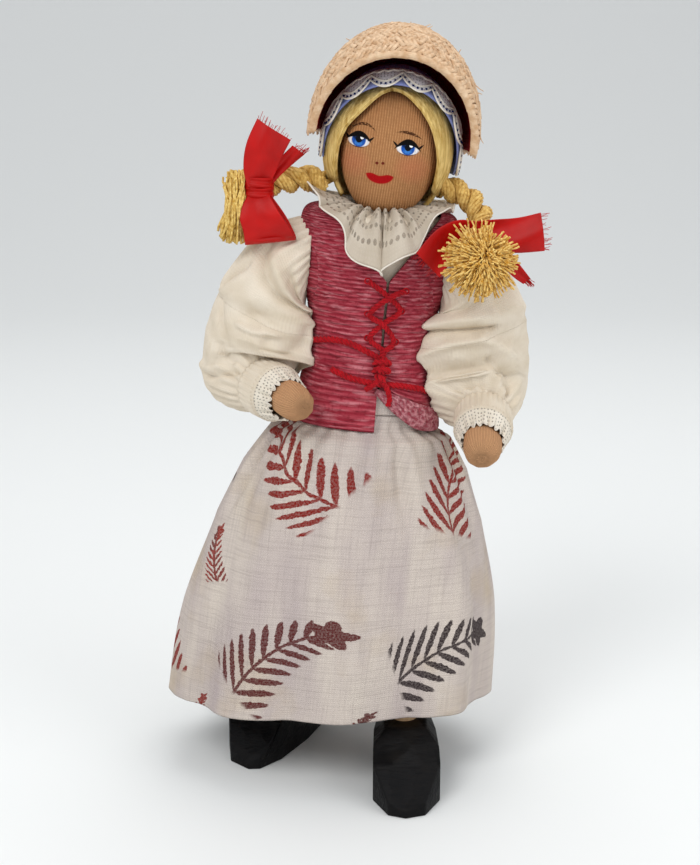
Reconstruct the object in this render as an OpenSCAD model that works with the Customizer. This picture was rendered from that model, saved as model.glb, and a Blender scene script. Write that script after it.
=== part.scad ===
// A costume doll: a peg-jointed wooden body in cloth clothes, with a straw bonnet and wooden clogs.
// +Z is up, the doll faces -Y, and the origin lies on the ground below the middle of the doll.

/* [Stance] */
// Lean of the trunk towards +X, in degrees
lean = 4.5; // [2:0.5:6]
// Lean of the head towards +X, in degrees
head_lean = 8; // [4:0.5:9]
// Height of the hip peg above the ground
hip_h = 104; // [100:1:108]
// Place of the hip peg's middle along X
hip_x = 2.6; // [0:0.1:4]
// Place of the hip peg's middle along Y
hip_y = 9.5; // [8:0.1:11]

/* [Trunk and pegs] */
// Half the width of the trunk between the legs
hip_half_w = 8; // [7:0.5:9]
// Height of the shoulder peg above the hip peg
shoulder_t = 66; // [64:0.5:68]
// Height of the neck's foot above the hip peg
neck_t = 74.5; // [74:0.5:76]
// Radius of the shoulder and hip pegs
peg_r = 2.5; // [2:0.1:3]
// Radius of the neck peg
neck_peg_r = 3.5; // [3:0.1:4]
// Radius of the heads of the pegs
peg_head_r = 4; // [3.5:0.1:4.5]
// Thickness of the heads of the pegs
peg_head_l = 1.6; // [1.2:0.1:2]

/* [Arms] */
// Length from the shoulder peg to the elbow pin
upper_arm_l = 47.8; // [46:0.2:49]
// Length from the elbow pin to the middle of the fist
forearm_l = 30; // [29:0.5:32]
// Radius of the arm dowels
arm_r = 3.6; // [3.2:0.1:3.8]
// Radius of the shoulder disc
shoulder_r = 6; // [5.4:0.1:6.4]
// Thickness of the shoulder disc
shoulder_l = 6.3; // [5.5:0.1:6.6]
// Radius of the elbow knuckle
elbow_r = 5; // [4.6:0.1:5.4]
// Thickness of the elbow tongue
tongue_w = 3; // [2.6:0.1:3.4]
// Radius of the elbow pins
elbow_pin_r = 1.2; // [1:0.1:1.4]
// Radius of a fist
hand_r = 6.6; // [6.2:0.1:7]
// Radius of a wrist
wrist_r = 5; // [4.6:0.1:5.4]

/* [Legs and clogs] */
// Radius of the leg dowels
leg_r = 4.2; // [3.9:0.1:4.4]
// Radius of the hip disc
hip_r = 6.5; // [6:0.1:7]
// Thickness of the hip disc
hip_l = 9.6; // [9.4:0.1:10]
// Depth of the leg's socket in the clog
ankle_depth = 12; // [10:0.5:14]
// Length of a clog
clog_l = 44; // [42:0.5:46]
// Width of a clog
clog_w = 21.5; // [20:0.5:22.5]
// Height of a clog
clog_h = 19.6; // [18.5:0.1:20]
// Height of the ridge across the toe
toe_ridge_h = 12; // [10:0.5:14]
// Height of the toe's foot edge
toe_h = 2.4; // [2:0.1:3]

/* [Head] */
// Half the width of the wooden head
head_half_w = 14.8; // [14:0.1:15.4]
// Half the depth of the wooden head
head_half_d = 16.1; // [15.4:0.1:16.6]
// Half the height of the wooden head
head_half_h = 19.1; // [18.5:0.1:19.6]
// Height of the middle of the head above the neck's foot
head_mid_h = 24; // [23.6:0.1:25]
// Thickness of the knitted face cover
cover_wall = 0.8; // [0.6:0.1:1]
// Thickness of the hair over the face cover
hair_wall = 4; // [3.6:0.1:4.4]

/* [Cap and bonnet] */
// Thickness of the cotton cap
cap_wall = 0.8; // [0.6:0.1:1]
// Width of the cap's lace
cap_lace_w = 5; // [4:0.5:6]
// Thickness of the cap's lace
lace_wall = 0.7; // [0.6:0.1:1]
// Half the width of the bonnet
bonnet_half_w = 27; // [26.6:0.1:28]
// Half the depth of the bonnet
bonnet_half_d = 29.5; // [29.2:0.1:31]
// Height of the bonnet's crown above its middle
bonnet_half_h = 33; // [32:0.5:35]
// Height of the bonnet's middle above the neck's foot
bonnet_mid_h = 30; // [29:0.5:31]
// Place of the bonnet's middle in front of the head's middle
bonnet_front = 4; // [3.4:0.2:4.2]
// Thickness of the straw plait
straw_wall = 2.2; // [1.8:0.1:2.4]
// Thickness of the bonnet's lining
lining_wall = 0.7; // [0.5:0.1:0.9]
// Width of the bonnet's edge binding
binding_w = 2.4; // [2:0.1:3]
// Slope of the bonnet's front opening from the vertical, in degrees
bonnet_slope = 28; // [24:1:32]

/* [Vest and blouse] */
// Half the width of the vest at its lower edge
vest_hem_half_w = 23.8; // [23:0.1:24.6]
// Half the width of the vest at the waist
vest_waist_half_w = 20.3; // [20:0.1:21]
// Half the width of the vest at the shoulders
vest_top_half_w = 25.4; // [25:0.1:26]
// Room from the trunk's side to the vest's outer face
vest_room = 7.6; // [7.2:0.1:8.4]
// Height of the vest's lower edge above the hip peg
vest_hem_t = 10.5; // [9.5:0.5:11.5]
// Height of the vest's waist above the hip peg
vest_waist_t = 42; // [40:1:44]
// Height of the vest's shoulders above the hip peg
vest_top_t = 80; // [79.6:0.2:81]
// Thickness of the vest's cloth
vest_wall = 1.2; // [1:0.1:1.3]
// Radius of the vest's armholes
armhole_r = 14; // [13.6:0.1:14.2]
// Place of the front opening along X, from the trunk's middle
opening_x = 3.6; // [2:0.2:5]
// Gap between the two fronts
opening_w = 1.6; // [1.2:0.1:2.4]
// Height of the foot of the V neck above the hip peg
v_neck_t = 59; // [57:0.5:61]
// Thickness of the blouse's cloth
blouse_wall = 0.8; // [0.6:0.1:0.9]
// Width of the corner that is turned up
flap_w = 19; // [17:0.5:20]

/* [Sleeves and cuffs] */
// Greatest radius of a sleeve
sleeve_r = 14.6; // [14.2:0.1:15]
// Thickness of the sleeve's cloth
sleeve_wall = 0.8; // [0.6:0.1:0.9]
// Outer radius of a cuff
cuff_r = 9.3; // [9:0.1:9.8]
// Length of a cuff
cuff_l = 8.6; // [8:0.2:9]
// Thickness of a cuff
cuff_wall = 1; // [0.8:0.1:1.2]
// Length of a cuff's lace
cuff_lace_l = 4.4; // [4:0.2:5]

/* [Collar] */
// Half the width of the ruffled collar
ruffle_half_w = 23.4; // [22.6:0.2:24]
// Half the depth of the ruffled collar
ruffle_half_d = 21; // [20.4:0.2:21.6]
// Number of the collar's pleats
pleats = 16; // [12:1:18]
// Depth of a pleat at the outer edge
pleat_h = 2.4; // [1.6:0.1:2.6]
// Thickness of the collar's cloth
ruffle_wall = 0.8; // [0.6:0.1:0.9]

/* [Skirt] */
// Height of the skirt's hem above the ground
hem_h = 21.6; // [21:0.2:23]
// Half the width of the skirt at its hem
hem_half_w = 54; // [52:0.5:56]
// Half the depth of the skirt at its hem
hem_half_d = 38.5; // [37:0.5:40]
// Place of the hem's middle along X
hem_x = -8; // [-9:0.5:-6]
// Place of the hem's middle along Y
hem_y = 6.5; // [5:0.5:8]
// Half the width of the skirt at its waist
waist_half_w = 20.7; // [20.5:0.1:21]
// Number of the skirt's folds
folds = 9; // [7:1:11]
// Depth of a fold at the hem
fold_d = 1.5; // [1:0.1:2]
// Thickness of the skirt's cloth
skirt_wall = 1; // [0.8:0.1:1.2]

/* [Braids, ribbons and cord] */
// Radius of a braid at the head
braid_r = 3.7; // [3.4:0.1:3.9]
// Radius of the tassel that faces forward
pompom_r = 10.6; // [10:0.2:11]
// Half the depth of the tassel that faces forward
pompom_half_d = 7.4; // [7:0.2:7.8]
// Width of the satin ribbon
ribbon_w = 11; // [10:0.2:12]
// Thickness of a bow of ribbon
ribbon_wall = 1; // [0.8:0.1:1.2]
// Radius of the lacing cord
cord_r = 0.8; // [0.7:0.05:0.9]

/* [Fits] */
// Running clearance of a pin or a peg in its bore
run_gap = 0.05; // [0.03:0.01:0.08]
// Clearance between neighbours that are glued or sewn
fit_gap = 0.1; // [0.05:0.01:0.15]
// Clearance of a soft or moving neighbour
soft_gap = 0.3; // [0.25:0.05:0.4]

/* [Hidden] */
$fn = 64;
// Overrun of every cut
cut = 1;
// Size of a cutting block, larger than the doll
big = 400;
beech = "burlywood";
ivory = "ivory";
crimson = "palevioletred";
scarlet = "firebrick";
blond = "khaki";
tan_knit = "tan";
straw = "wheat";
black_paint = "#222222";

// Sides: -1 is the viewer's left, 1 is the viewer's right
left = -1;
right = 1;
// Angles of each arm: splay from the trunk, twist about its own axis and bend of the elbow
function splay(side) = side < 0 ? 28 : -17;
function twist(side) = side < 0 ? 34 : -11;
function bend(side) = side < 0 ? 100 : 73;
// Place of each ankle on the ground, and the way each clog points, in degrees from -Y towards -X
function ankle(side) = side < 0 ? [-24.3, 15.5] : [17, -16.6];
function clog_turn(side) = side < 0 ? 30 : 0;
// Shift of each toe's tip towards the doll's middle
function toe_shift(side) = side < 0 ? 5 : -0.6;

// Points and turns of the leaning trunk, the leaning head and the arms
trunk_foot = [hip_x, hip_y, hip_h];
function turn_y(v, a) = [v.x * cos(a) + v.z * sin(a), v.y, -v.x * sin(a) + v.z * cos(a)];
function turn_x(v, a) = [v.x, v.y * cos(a) - v.z * sin(a), v.y * sin(a) + v.z * cos(a)];
function turn_z(v, a) = [v.x * cos(a) - v.y * sin(a), v.x * sin(a) + v.y * cos(a), v.z];
function at_trunk(v) = trunk_foot + turn_y(v, lean);
neck_foot = at_trunk([0, 0, neck_t]);
trunk_half_w = vest_top_half_w - vest_room;
shoulder_x = trunk_half_w + soft_gap + shoulder_l / 2;
function shoulder(side) = at_trunk([side * shoulder_x, 0, shoulder_t]);
function arm_way(side) = turn_y([0, 0, -1], splay(side));
function elbow(side) = shoulder(side) + upper_arm_l * arm_way(side);
function fore_way(side) = turn_y(turn_z(turn_x([0, 0, -1], -bend(side)), twist(side)), splay(side));
function fist(side) = elbow(side) + forearm_l * fore_way(side);
function unit(v) = v / norm(v);

module in_trunk() {
    translate(trunk_foot) rotate([0, lean, 0]) children();
}
module in_head() {
    translate(neck_foot) rotate([0, head_lean, 0]) children();
}
module in_arm(side) {
    translate(shoulder(side)) rotate([0, splay(side), 0]) rotate([0, 0, twist(side)]) children();
}
module in_forearm(side) {
    in_arm(side) translate([0, 0, -upper_arm_l]) rotate([-bend(side), 0, 0]) children();
}
// A cylinder from one point to another
module rod(from, to, r) {
    way = to - from;
    translate(from) rotate([0, acos(way.z / norm(way)), atan2(way.y, way.x)])
        cylinder(h = norm(way), r = r);
}
module across(l, r) {
    rotate([0, 90, 0]) cylinder(h = l, r = r, center = true);
}
module egg(half) {
    scale(half) sphere(1);
}
function grown(half, by) = [half.x + by, half.y + by, half.z + by];

// A closed mesh through loops of points, as a ring of loops or as a rod with flat ends
module skin(loops, ring) {
    n = len(loops[0]);
    m = len(loops);
    walls = [for (i = [0:(ring ? m - 1 : m - 2)], j = [0:n - 1], k = [0, 1])
        let (a = i * n, b = (i + 1) % m * n, c = (j + 1) % n)
        k == 0 ? [a + j, b + c, a + c] : [a + j, b + j, b + c]];
    ends = ring ? [] : concat([for (j = [1:n - 2]) [0, j, j + 1]],
        [for (j = [1:n - 2]) let (a = (m - 1) * n) [a, a + j + 1, a + j]]);
    polyhedron(points = [for (l = loops, p = l) p], faces = concat(walls, ends));
}
// A round loop about a point, square to a way, starting at a side
function loop(mid, way, side, r, n) = let (u = unit(side - (side * way) * way), w = cross(way, u))
    [for (i = [0:n - 1]) mid + r * (cos(360 * i / n) * u + sin(360 * i / n) * w)];
// A cord along a route
module cord(route, r, n = 8) {
    m = len(route);
    skin([for (i = [0:m - 1])
        let (way = unit(route[min(i + 1, m - 1)] - route[max(i - 1, 0)]))
        loop(route[i], way, abs(way.z) > 0.9 ? [1, 0, 0] : [0, 0, 1], is_list(r) ? r[i] : r, n)], false);
}

// Half widths of the vest by height, in the trunk's frame; the blouse lies just inside them
depth_share = 0.7;
vest_chest_share = 0.96;
vest_neck_share = 0.5;
vest_side = [[vest_hem_half_w, vest_hem_t], [vest_waist_half_w, vest_waist_t],
    [vest_top_half_w * vest_chest_share, shoulder_t - armhole_r / 2],
    [vest_top_half_w, shoulder_t + armhole_r / 2],
    [vest_top_half_w * vest_chest_share, vest_top_t - vest_wall],
    [vest_top_half_w * vest_neck_share, vest_top_t + vest_wall / 2]];
function moved_in(side, by) = [for (p = side) [p.x - by, p.y]];
module hollow_turned(side, wall) {
    back = [for (i = [len(side) - 1:-1:0]) [side[i].x - wall, side[i].y]];
    scale([1, depth_share, 1]) rotate_extrude() polygon(concat(side, back));
}

// Trunk: turned, cut flat where the arms and the legs lie against it
neck_gap_h = 2.4;
trunk_top_t = neck_t + neck_gap_h;
neck_boss_r = 2 * neck_peg_r;
neck_peg_below = neck_t - shoulder_t - peg_r - 2 * cut;
module trunk() {
    waist_share = 0.6;
    rib_share = 0.78;
    half = [[hip_half_w, -hip_r], [hip_half_w, hip_r + soft_gap],
        [trunk_half_w * waist_share, vest_waist_t - 2 * shoulder_r],
        [trunk_half_w * waist_share, vest_waist_t],
        [trunk_half_w * rib_share, vest_waist_t + 2 * shoulder_r], [trunk_half_w, shoulder_t - shoulder_r],
        [trunk_half_w, shoulder_t + shoulder_r / 2], [neck_boss_r, trunk_top_t - neck_peg_r - soft_gap]];
    thin = 0.5;
    function deep(p) = p.y < vest_waist_t + 3 * shoulder_r ? p.x * thin + cut : p.x * depth_share;
    module carved(half) {
        linear_extrude(4 * trunk_half_w, center = true) polygon(concat(half,
            [for (i = [len(half) - 1:-1:0]) [-half[i].x, half[i].y]]));
    }
    color(beech) difference() {
        in_trunk() union() {
            intersection() {
                rotate([90, 0, 0]) carved(half);
                rotate([90, 0, 90]) carved([for (p = half) [deep(p), p.y]]);
                translate([0, 0, -hip_r - cut]) scale([1, depth_share, 1])
                    cylinder(h = trunk_top_t + hip_r, r = trunk_half_w + cut);
            }
            translate([0, 0, shoulder_t]) cylinder(h = trunk_top_t - shoulder_t, r = neck_boss_r);
        }
        in_trunk() across(big, peg_r + fit_gap / 2);
        in_trunk() translate([0, 0, shoulder_t]) across(big, peg_r + fit_gap / 2);
        in_head() translate([0, 0, -neck_peg_below - fit_gap])
            cylinder(h = big, r = neck_peg_r + fit_gap / 2);
    }
}

// Pegs: dowels with a head at each end
module headed_peg(reach) {
    color(beech) {
        across(2 * reach + cut / 10, peg_r);
        for (side = [left, right]) translate([side * (reach + peg_head_l / 2), 0, 0])
            across(peg_head_l, peg_head_r);
    }
}
module shoulder_peg() {
    in_trunk() translate([0, 0, shoulder_t]) headed_peg(shoulder_x + shoulder_l / 2 + soft_gap);
}
hip_x_out = hip_half_w + soft_gap + hip_l / 2;
module hip_peg() {
    in_trunk() headed_peg(hip_x_out + hip_l / 2 + soft_gap);
}
neck_peg_top = head_mid_h - neck_peg_r;
module neck_peg() {
    color(beech) in_head() translate([0, 0, -neck_peg_below])
        cylinder(h = neck_peg_below + neck_peg_top, r = neck_peg_r);
}

// Arms: a disc on the shoulder peg, a dowel, and a slotted knuckle with a pin
module upper_arm(side) {
    color(beech) difference() {
        union() {
            in_trunk() translate([side * shoulder_x, 0, shoulder_t]) across(shoulder_l, shoulder_r);
            in_arm(side) {
                translate([0, 0, -upper_arm_l]) cylinder(h = upper_arm_l, r = arm_r);
                translate([0, 0, -upper_arm_l]) sphere(elbow_r);
            }
        }
        in_trunk() translate([side * shoulder_x, 0, shoulder_t]) across(big, peg_r + run_gap);
        in_trunk() translate([side * (shoulder_x - shoulder_l / 2 - big / 2), 0, shoulder_t])
            cube(big, center = true);
        in_trunk() translate([side * (shoulder_x + shoulder_l / 2), 0, shoulder_t])
            rotate([0, side * 90, 0]) cylinder(h = big, r = peg_head_r + soft_gap);
        in_arm(side) translate([0, 0, -upper_arm_l]) {
            across(big, elbow_pin_r + fit_gap / 2);
            translate([0, 0, -elbow_r / 2 + fit_gap])
                cube([tongue_w + 2 * soft_gap, 4 * elbow_r, 3 * elbow_r], center = true);
        }
    }
}
module elbow_pin(side) {
    color("silver") in_arm(side) translate([0, 0, -upper_arm_l]) across(2 * elbow_r - cut, elbow_pin_r);
}
fore_dowel_l = forearm_l - hand_r;
module forearm(side) {
    tongue_r = elbow_r - cut;
    color(beech) in_forearm(side) difference() {
        union() {
            across(tongue_w, tongue_r);
            translate([-tongue_w / 2, -elbow_r / 2, -elbow_r - tongue_w])
                cube([tongue_w, elbow_r, elbow_r + tongue_w]);
            translate([0, 0, -forearm_l + hand_r / 2])
                cylinder(h = fore_dowel_l + hand_r / 2 - elbow_r - tongue_w / 2, r = wrist_r - tongue_w / 2);
        }
        across(big, elbow_pin_r + run_gap);
    }
}
module hand(side) {
    wrist_l = forearm_l - elbow_r - tongue_w - 2 * hand_r;
    color(tan_knit) in_forearm(side) difference() {
        union() {
            translate([0, 0, -forearm_l]) sphere(hand_r);
            translate([0, 0, -forearm_l]) cylinder(h = hand_r + wrist_l, r = wrist_r);
        }
        translate([0, 0, -forearm_l + hand_r / 2 - fit_gap])
            cylinder(h = big, r = wrist_r - tongue_w / 2 + fit_gap / 2);
    }
}

// Sleeves: each station is a share of the way along the upper arm, a share along the forearm, a shift
// away from the trunk, shares of the outward, upper arm and forearm ways, and a share of the radius
fold_share = 0.035;
sleeve_folds = 5;
free_share = 0.3;
cuff_from = (forearm_l - hand_r - cuff_lace_l / 2 - cuff_l) / forearm_l;
cuff_share = (cuff_r - cuff_wall / 2) / sleeve_r;
sleeve_upper_shares = [[0, 0, 0, 1, 0, 0, 0.7], [0.16, 0, 0.36, 1, 1, 0, 0.92],
    [0.38, 0, 0.42, 0, 1, 0, 0.96], [0.52, 0, 0.32, 0, 1, 0, 1]];
sleeve_lower_shares = [[0.53, 0, 0.32, 0, 1, 0, 1], [0.7, 0, 0.2, 0, 1, 0.1, 1.03],
    [0.9, 0, 0, 0, 0.8, 0.4, 1.03], [0.98, 0.1, -0.05, 0, 0.5, 0.8, 0.95]];
sleeve_n = 22;
function sleeve_mid(side, s) = shoulder(side) + s[0] * (elbow(side) - shoulder(side))
    + s[1] * (fist(side) - elbow(side)) + side * s[2] * sleeve_r * [1, 0, 0];
function sleeve_way(side, s) = unit(s[3] * turn_y([side, 0, 0], lean) + s[4] * arm_way(side)
    + s[5] * fore_way(side));
// A vector turned the short way with one way that turns into another
function carried(v, from, to) = v - ((from + to) * v) / (1 + from * to) * (from + to) + 2 * (from * v) * to;
// A point moved sideways until it is clear of the vest
function beside_vest(p, side, in) = let (q = turn_y(p - trunk_foot, -lean), w = vest_w(q.z),
    gap = in + soft_gap + (q.z < vest_waist_t ? 2 * cord_r + soft_gap : 2 * sleeve_wall),
    least = w * sqrt(max(0, 1 - pow(q.y / (w * depth_share), 2))) + gap)
    side * q.x < least ? at_trunk([side * least, q.y, q.z]) : p;
function sleeve_loop(side, s, in) = let (way = sleeve_way(side, s), mid = sleeve_mid(side, s),
    across_way = carried(unit(cross(arm_way(side), fore_way(side))), arm_way(side), way),
    front = cross(way, across_way))
    [for (i = [0:sleeve_n - 1]) let (a = 360 * i / sleeve_n,
        r = sleeve_r * s[6] * (1 + fold_share * cos(sleeve_folds * a)) - in,
        p = mid + r * (cos(a) * across_way + sin(a) * front))
        s[0] < free_share ? p : beside_vest(p, side, in)];
module sleeve(side, stations) {
    out = [for (s = stations) sleeve_loop(side, s, 0)];
    in = [for (i = [len(stations) - 1:-1:0]) sleeve_loop(side, stations[i], sleeve_wall)];
    color(ivory) skin(concat(out, in), true);
}
module sleeve_upper(side) {
    sleeve(side, sleeve_upper_shares);
}
module sleeve_lower(side) {
    sleeve(side, concat(sleeve_lower_shares,
        [[1, cuff_from - soft_gap / forearm_l, 0, 0, 0, 1, cuff_share]]));
}

// Cuffs: a band at the wrist with a lace edge
module wrist_band(side, from, l, r, wall) {
    in_forearm(side) translate([0, 0, -from - l]) difference() {
        cylinder(h = l, r = r);
        translate([0, 0, -cut]) cylinder(h = l + 2 * cut, r = r - wall);
    }
}
module cuff(side) {
    color(ivory) wrist_band(side, cuff_from * forearm_l, cuff_l, cuff_r, cuff_wall);
}
module cuff_lace(side) {
    color("white") wrist_band(side, cuff_from * forearm_l + cuff_l, cuff_lace_l, cuff_r, lace_wall);
}

// Legs: a disc on the hip peg and a dowel that ends in the clog
function hip_joint(side) = at_trunk([side * hip_x_out, 0, 0]);
function ankle_foot(side) = [ankle(side).x, ankle(side).y, clog_h - ankle_depth];
module leg(side) {
    color(beech) difference() {
        union() {
            in_trunk() translate([side * hip_x_out, 0, 0]) across(hip_l, hip_r);
            rod(ankle_foot(side), hip_joint(side), leg_r);
        }
        in_trunk() across(big, peg_r + run_gap);
        in_trunk() translate([side * (hip_x_out - hip_l / 2 - big / 2), 0, 0]) cube(big, center = true);
        in_trunk() translate([side * (hip_x_out + hip_l / 2), 0, 0]) rotate([0, side * 90, 0])
            cylinder(h = peg_head_l + cut, r = peg_head_r + soft_gap);
    }
}

// Clogs: a plan and a side outline cut through each other, with knife facets and a leg socket
heel_l = 14;
facet_in = 2.6;
ridge_share = 0.66;
facet_turn = 42;
module clog(side) {
    tip = clog_l - heel_l;
    half = clog_w / 2;
    back = -heel_l - cut;
    plan_shares = [[-0.95, 0, 0], [-1, 0.6, 0], [-0.55, 0.93, 0.5], [0, 1, 1], [0.55, 0.93, 0.5],
        [1, 0.6, 0], [0.95, 0, 0]];
    heel_share = 0.72;
    plan = concat([[-half * heel_share, back]],
        [for (p = plan_shares) [p.x * half - p[2] * toe_shift(side), p.y * tip]],
        [[half * heel_share, back]]);
    slope = (toe_ridge_h - toe_h) / (tip * (1 - ridge_share));
    profile = [[-heel_l, 0], [tip + cut, 0], [tip + cut, toe_h - cut * slope],
        [tip * ridge_share, toe_ridge_h], [heel_l / 2, clog_h], [-heel_l + toe_h, clog_h],
        [-heel_l, toe_ridge_h]];
    color(black_paint) difference() {
        translate([ankle(side).x, ankle(side).y, 0]) rotate([0, 0, 180 - clog_turn(side)]) difference() {
            intersection() {
                translate([0, 0, -cut]) linear_extrude(clog_h + 2 * cut) polygon(plan);
                rotate([90, 0, 90]) linear_extrude(2 * clog_w, center = true) polygon(profile);
            }
            for (out = [left, right]) translate([out * half, 0, clog_h]) rotate([0, out * facet_turn, 0])
                translate([0, 0, clog_w / 2 - facet_in]) cube([clog_w, big, clog_w], center = true);
        }
        rod(ankle_foot(side) - [0, 0, fit_gap], hip_joint(side), leg_r + fit_gap / 2);
    }
}

// Head: a turned ball on the neck peg, and the knitted cover drawn over it
head_half = [head_half_w, head_half_d, head_half_h];
cover_half = grown(head_half, cover_wall + fit_gap);
hair_in_half = grown(cover_half, fit_gap);
hair_half = grown(cover_half, hair_wall);
module head_ball() {
    color(beech) in_head() difference() {
        translate([0, 0, head_mid_h]) egg(head_half);
        cylinder(h = neck_peg_top + fit_gap, r = neck_peg_r + run_gap);
    }
}
module face_cover() {
    color(tan_knit) in_head() difference() {
        translate([0, 0, head_mid_h]) egg(cover_half);
        translate([0, 0, head_mid_h]) egg(grown(head_half, fit_gap));
        cylinder(h = head_mid_h, r = neck_peg_r + soft_gap + cover_wall);
    }
}

// Hair: a parted front and a back, open round the face
hair_split_y = 2;
hair_low_share = 0.72;
face_shares = [[0, 0.98], [0.62, 0.72], [0.9, 0.2], [0.9, -0.4], [0.72, -2], [-0.72, -2], [-0.9, -0.4],
    [-0.9, 0.2], [-0.62, 0.72]];
module hair_shell() {
    difference() {
        egg(hair_half);
        egg(hair_in_half);
        translate([0, 0, -big / 2 - head_half_h * hair_low_share]) cube(big, center = true);
    }
}
module face_opening() {
    points = [for (p = face_shares) [p.x * cover_half.x, p.y * cover_half.z]];
    rotate([90, 0, 0]) linear_extrude(big) polygon(points);
}
module hair_front(side) {
    color(blond) in_head() translate([0, 0, head_mid_h]) intersection() {
        difference() {
            hair_shell();
            face_opening();
        }
        translate([side * (big + fit_gap) / 2, -big / 2 + hair_split_y, 0]) cube(big, center = true);
    }
}
module hair_back() {
    color(blond) in_head() translate([0, 0, head_mid_h]) intersection() {
        hair_shell();
        translate([0, big / 2 + hair_split_y + fit_gap, 0]) cube(big, center = true);
    }
}

// Cap and its lace: a dome over the hair, cut by the same slope as the bonnet's front
cap_half = grown(hair_half, 2 * soft_gap + cap_wall);
cap_front_y = -7;
module behind(y, z) {
    translate([0, y, z]) rotate([bonnet_slope, 0, 0]) translate([0, big / 2, 0]) cube(big, center = true);
}
module over(z) {
    translate([0, 0, z + big / 2]) cube(big, center = true);
}
// An egg of flat faces, for thin domes that are cut at a slope
module facet_egg(half) {
    rows = 11;
    sides = 28;
    steep = 84;
    skin([for (k = [0:rows]) let (up = steep * (2 * k / rows - 1))
        [for (i = [0:sides - 1]) let (a = 360 * i / sides)
            [half.x * cos(up) * cos(a), half.y * cos(up) * sin(a), half.z * sin(up) / sin(steep)]]], false);
}
module cap() {
    color("lightsteelblue") in_head() intersection() {
        translate([0, 0, head_mid_h]) difference() {
            facet_egg(cap_half);
            facet_egg(grown(hair_half, 2 * soft_gap));
        }
        behind(cap_front_y, head_mid_h);
        over(head_mid_h - cap_lace_w);
    }
}
module cap_lace() {
    color("white") in_head() intersection() {
        translate([0, 0, head_mid_h]) difference() {
            facet_egg(grown(cap_half, fit_gap + lace_wall));
            facet_egg(grown(cap_half, fit_gap));
        }
        difference() {
            behind(cap_front_y - cap_lace_w / 3, head_mid_h);
            behind(cap_front_y + cap_lace_w * 2 / 3, head_mid_h);
        }
        over(head_mid_h - cap_lace_w);
    }
}

// Bonnet: a straw dome open to the front, with its lining and an edge binding
bonnet_half = [bonnet_half_w, bonnet_half_d, bonnet_half_h];
bonnet_hem_drop = 3;
bonnet_hem_h = bonnet_mid_h - bonnet_hem_drop;
bonnet_front_y = -11.5;
module bonnet_dome(outer, inner, front_y, hem) {
    in_head() intersection() {
        translate([0, -bonnet_front, bonnet_mid_h]) difference() {
            facet_egg(grown(bonnet_half, outer));
            facet_egg(grown(bonnet_half, inner));
        }
        behind(front_y, bonnet_mid_h);
        over(hem);
    }
}
module bonnet() {
    color(straw) bonnet_dome(0, -straw_wall, bonnet_front_y + binding_w, bonnet_hem_h);
}
module bonnet_lining() {
    color("rosybrown") bonnet_dome(-straw_wall - fit_gap, -straw_wall - fit_gap - lining_wall,
        bonnet_front_y + binding_w, bonnet_hem_h);
}
module bonnet_binding() {
    color(straw) difference() {
        bonnet_dome(soft_gap, -straw_wall - lining_wall - 2 * fit_gap, bonnet_front_y, bonnet_hem_h);
        in_head() behind(bonnet_front_y + binding_w - fit_gap, bonnet_mid_h);
    }
}

// Blouse, neckband and vest on the trunk
module armholes(r) {
    translate([0, 0, shoulder_t - armhole_drop]) across(big, r);
}
armhole_drop = 4.4;
sleeve_in = 2.2;
blouse_top_t = vest_top_t - 3 * soft_gap;
blouse_side = concat([[waist_half_w - skirt_wall - 2 * soft_gap, vest_hem_t]],
    [for (i = [1:3]) vest_side[i] - [vest_wall + 2 * fit_gap + sleeve_in, 0]],
    [[vest_side[4].x - vest_wall - 2 * fit_gap - sleeve_in, blouse_top_t - 2 * vest_wall],
    [vest_side[5].x + soft_gap, blouse_top_t]]);
module blouse_body() {
    color(ivory) in_trunk() difference() {
        hollow_turned(blouse_side, blouse_wall);
        translate([0, 0, shoulder_t]) across(big, shoulder_r + shoulder_l / 2);
    }
}
neckband_l = 5;
neckband_in = neck_boss_r + fit_gap;
module neckband() {
    color("white") in_trunk() translate([0, 0, trunk_top_t - neck_peg_r]) difference() {
        cylinder(h = neckband_l, r = neckband_in + cuff_wall);
        translate([0, 0, -cut]) cylinder(h = neckband_l + 2 * cut, r = neckband_in);
    }
}
module vest_shell() {
    difference() {
        hollow_turned(vest_side, vest_wall);
        armholes(armhole_r);
        translate([0, 0, shoulder_t]) cylinder(h = big, r = vest_top_half_w * vest_neck_share + soft_gap);
    }
}
v_neck_share = 0.72;
module v_neck() {
    top = vest_top_t + vest_wall + cut;
    half = vest_top_half_w * v_neck_share;
    rotate([90, 0, 0]) linear_extrude(big)
        polygon([[opening_x, v_neck_t], [half + opening_x / 2, top], [-half + opening_x / 2, top]]);
}
module vest_front(side) {
    in_trunk() intersection() {
        difference() {
            vest_shell();
            v_neck();
        }
        translate([opening_x + side * (big + opening_w) / 2, -big / 2 - fit_gap / 2, 0])
            cube(big, center = true);
    }
}
module vest_front_left() {
    color(crimson) vest_front(left);
}
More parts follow.
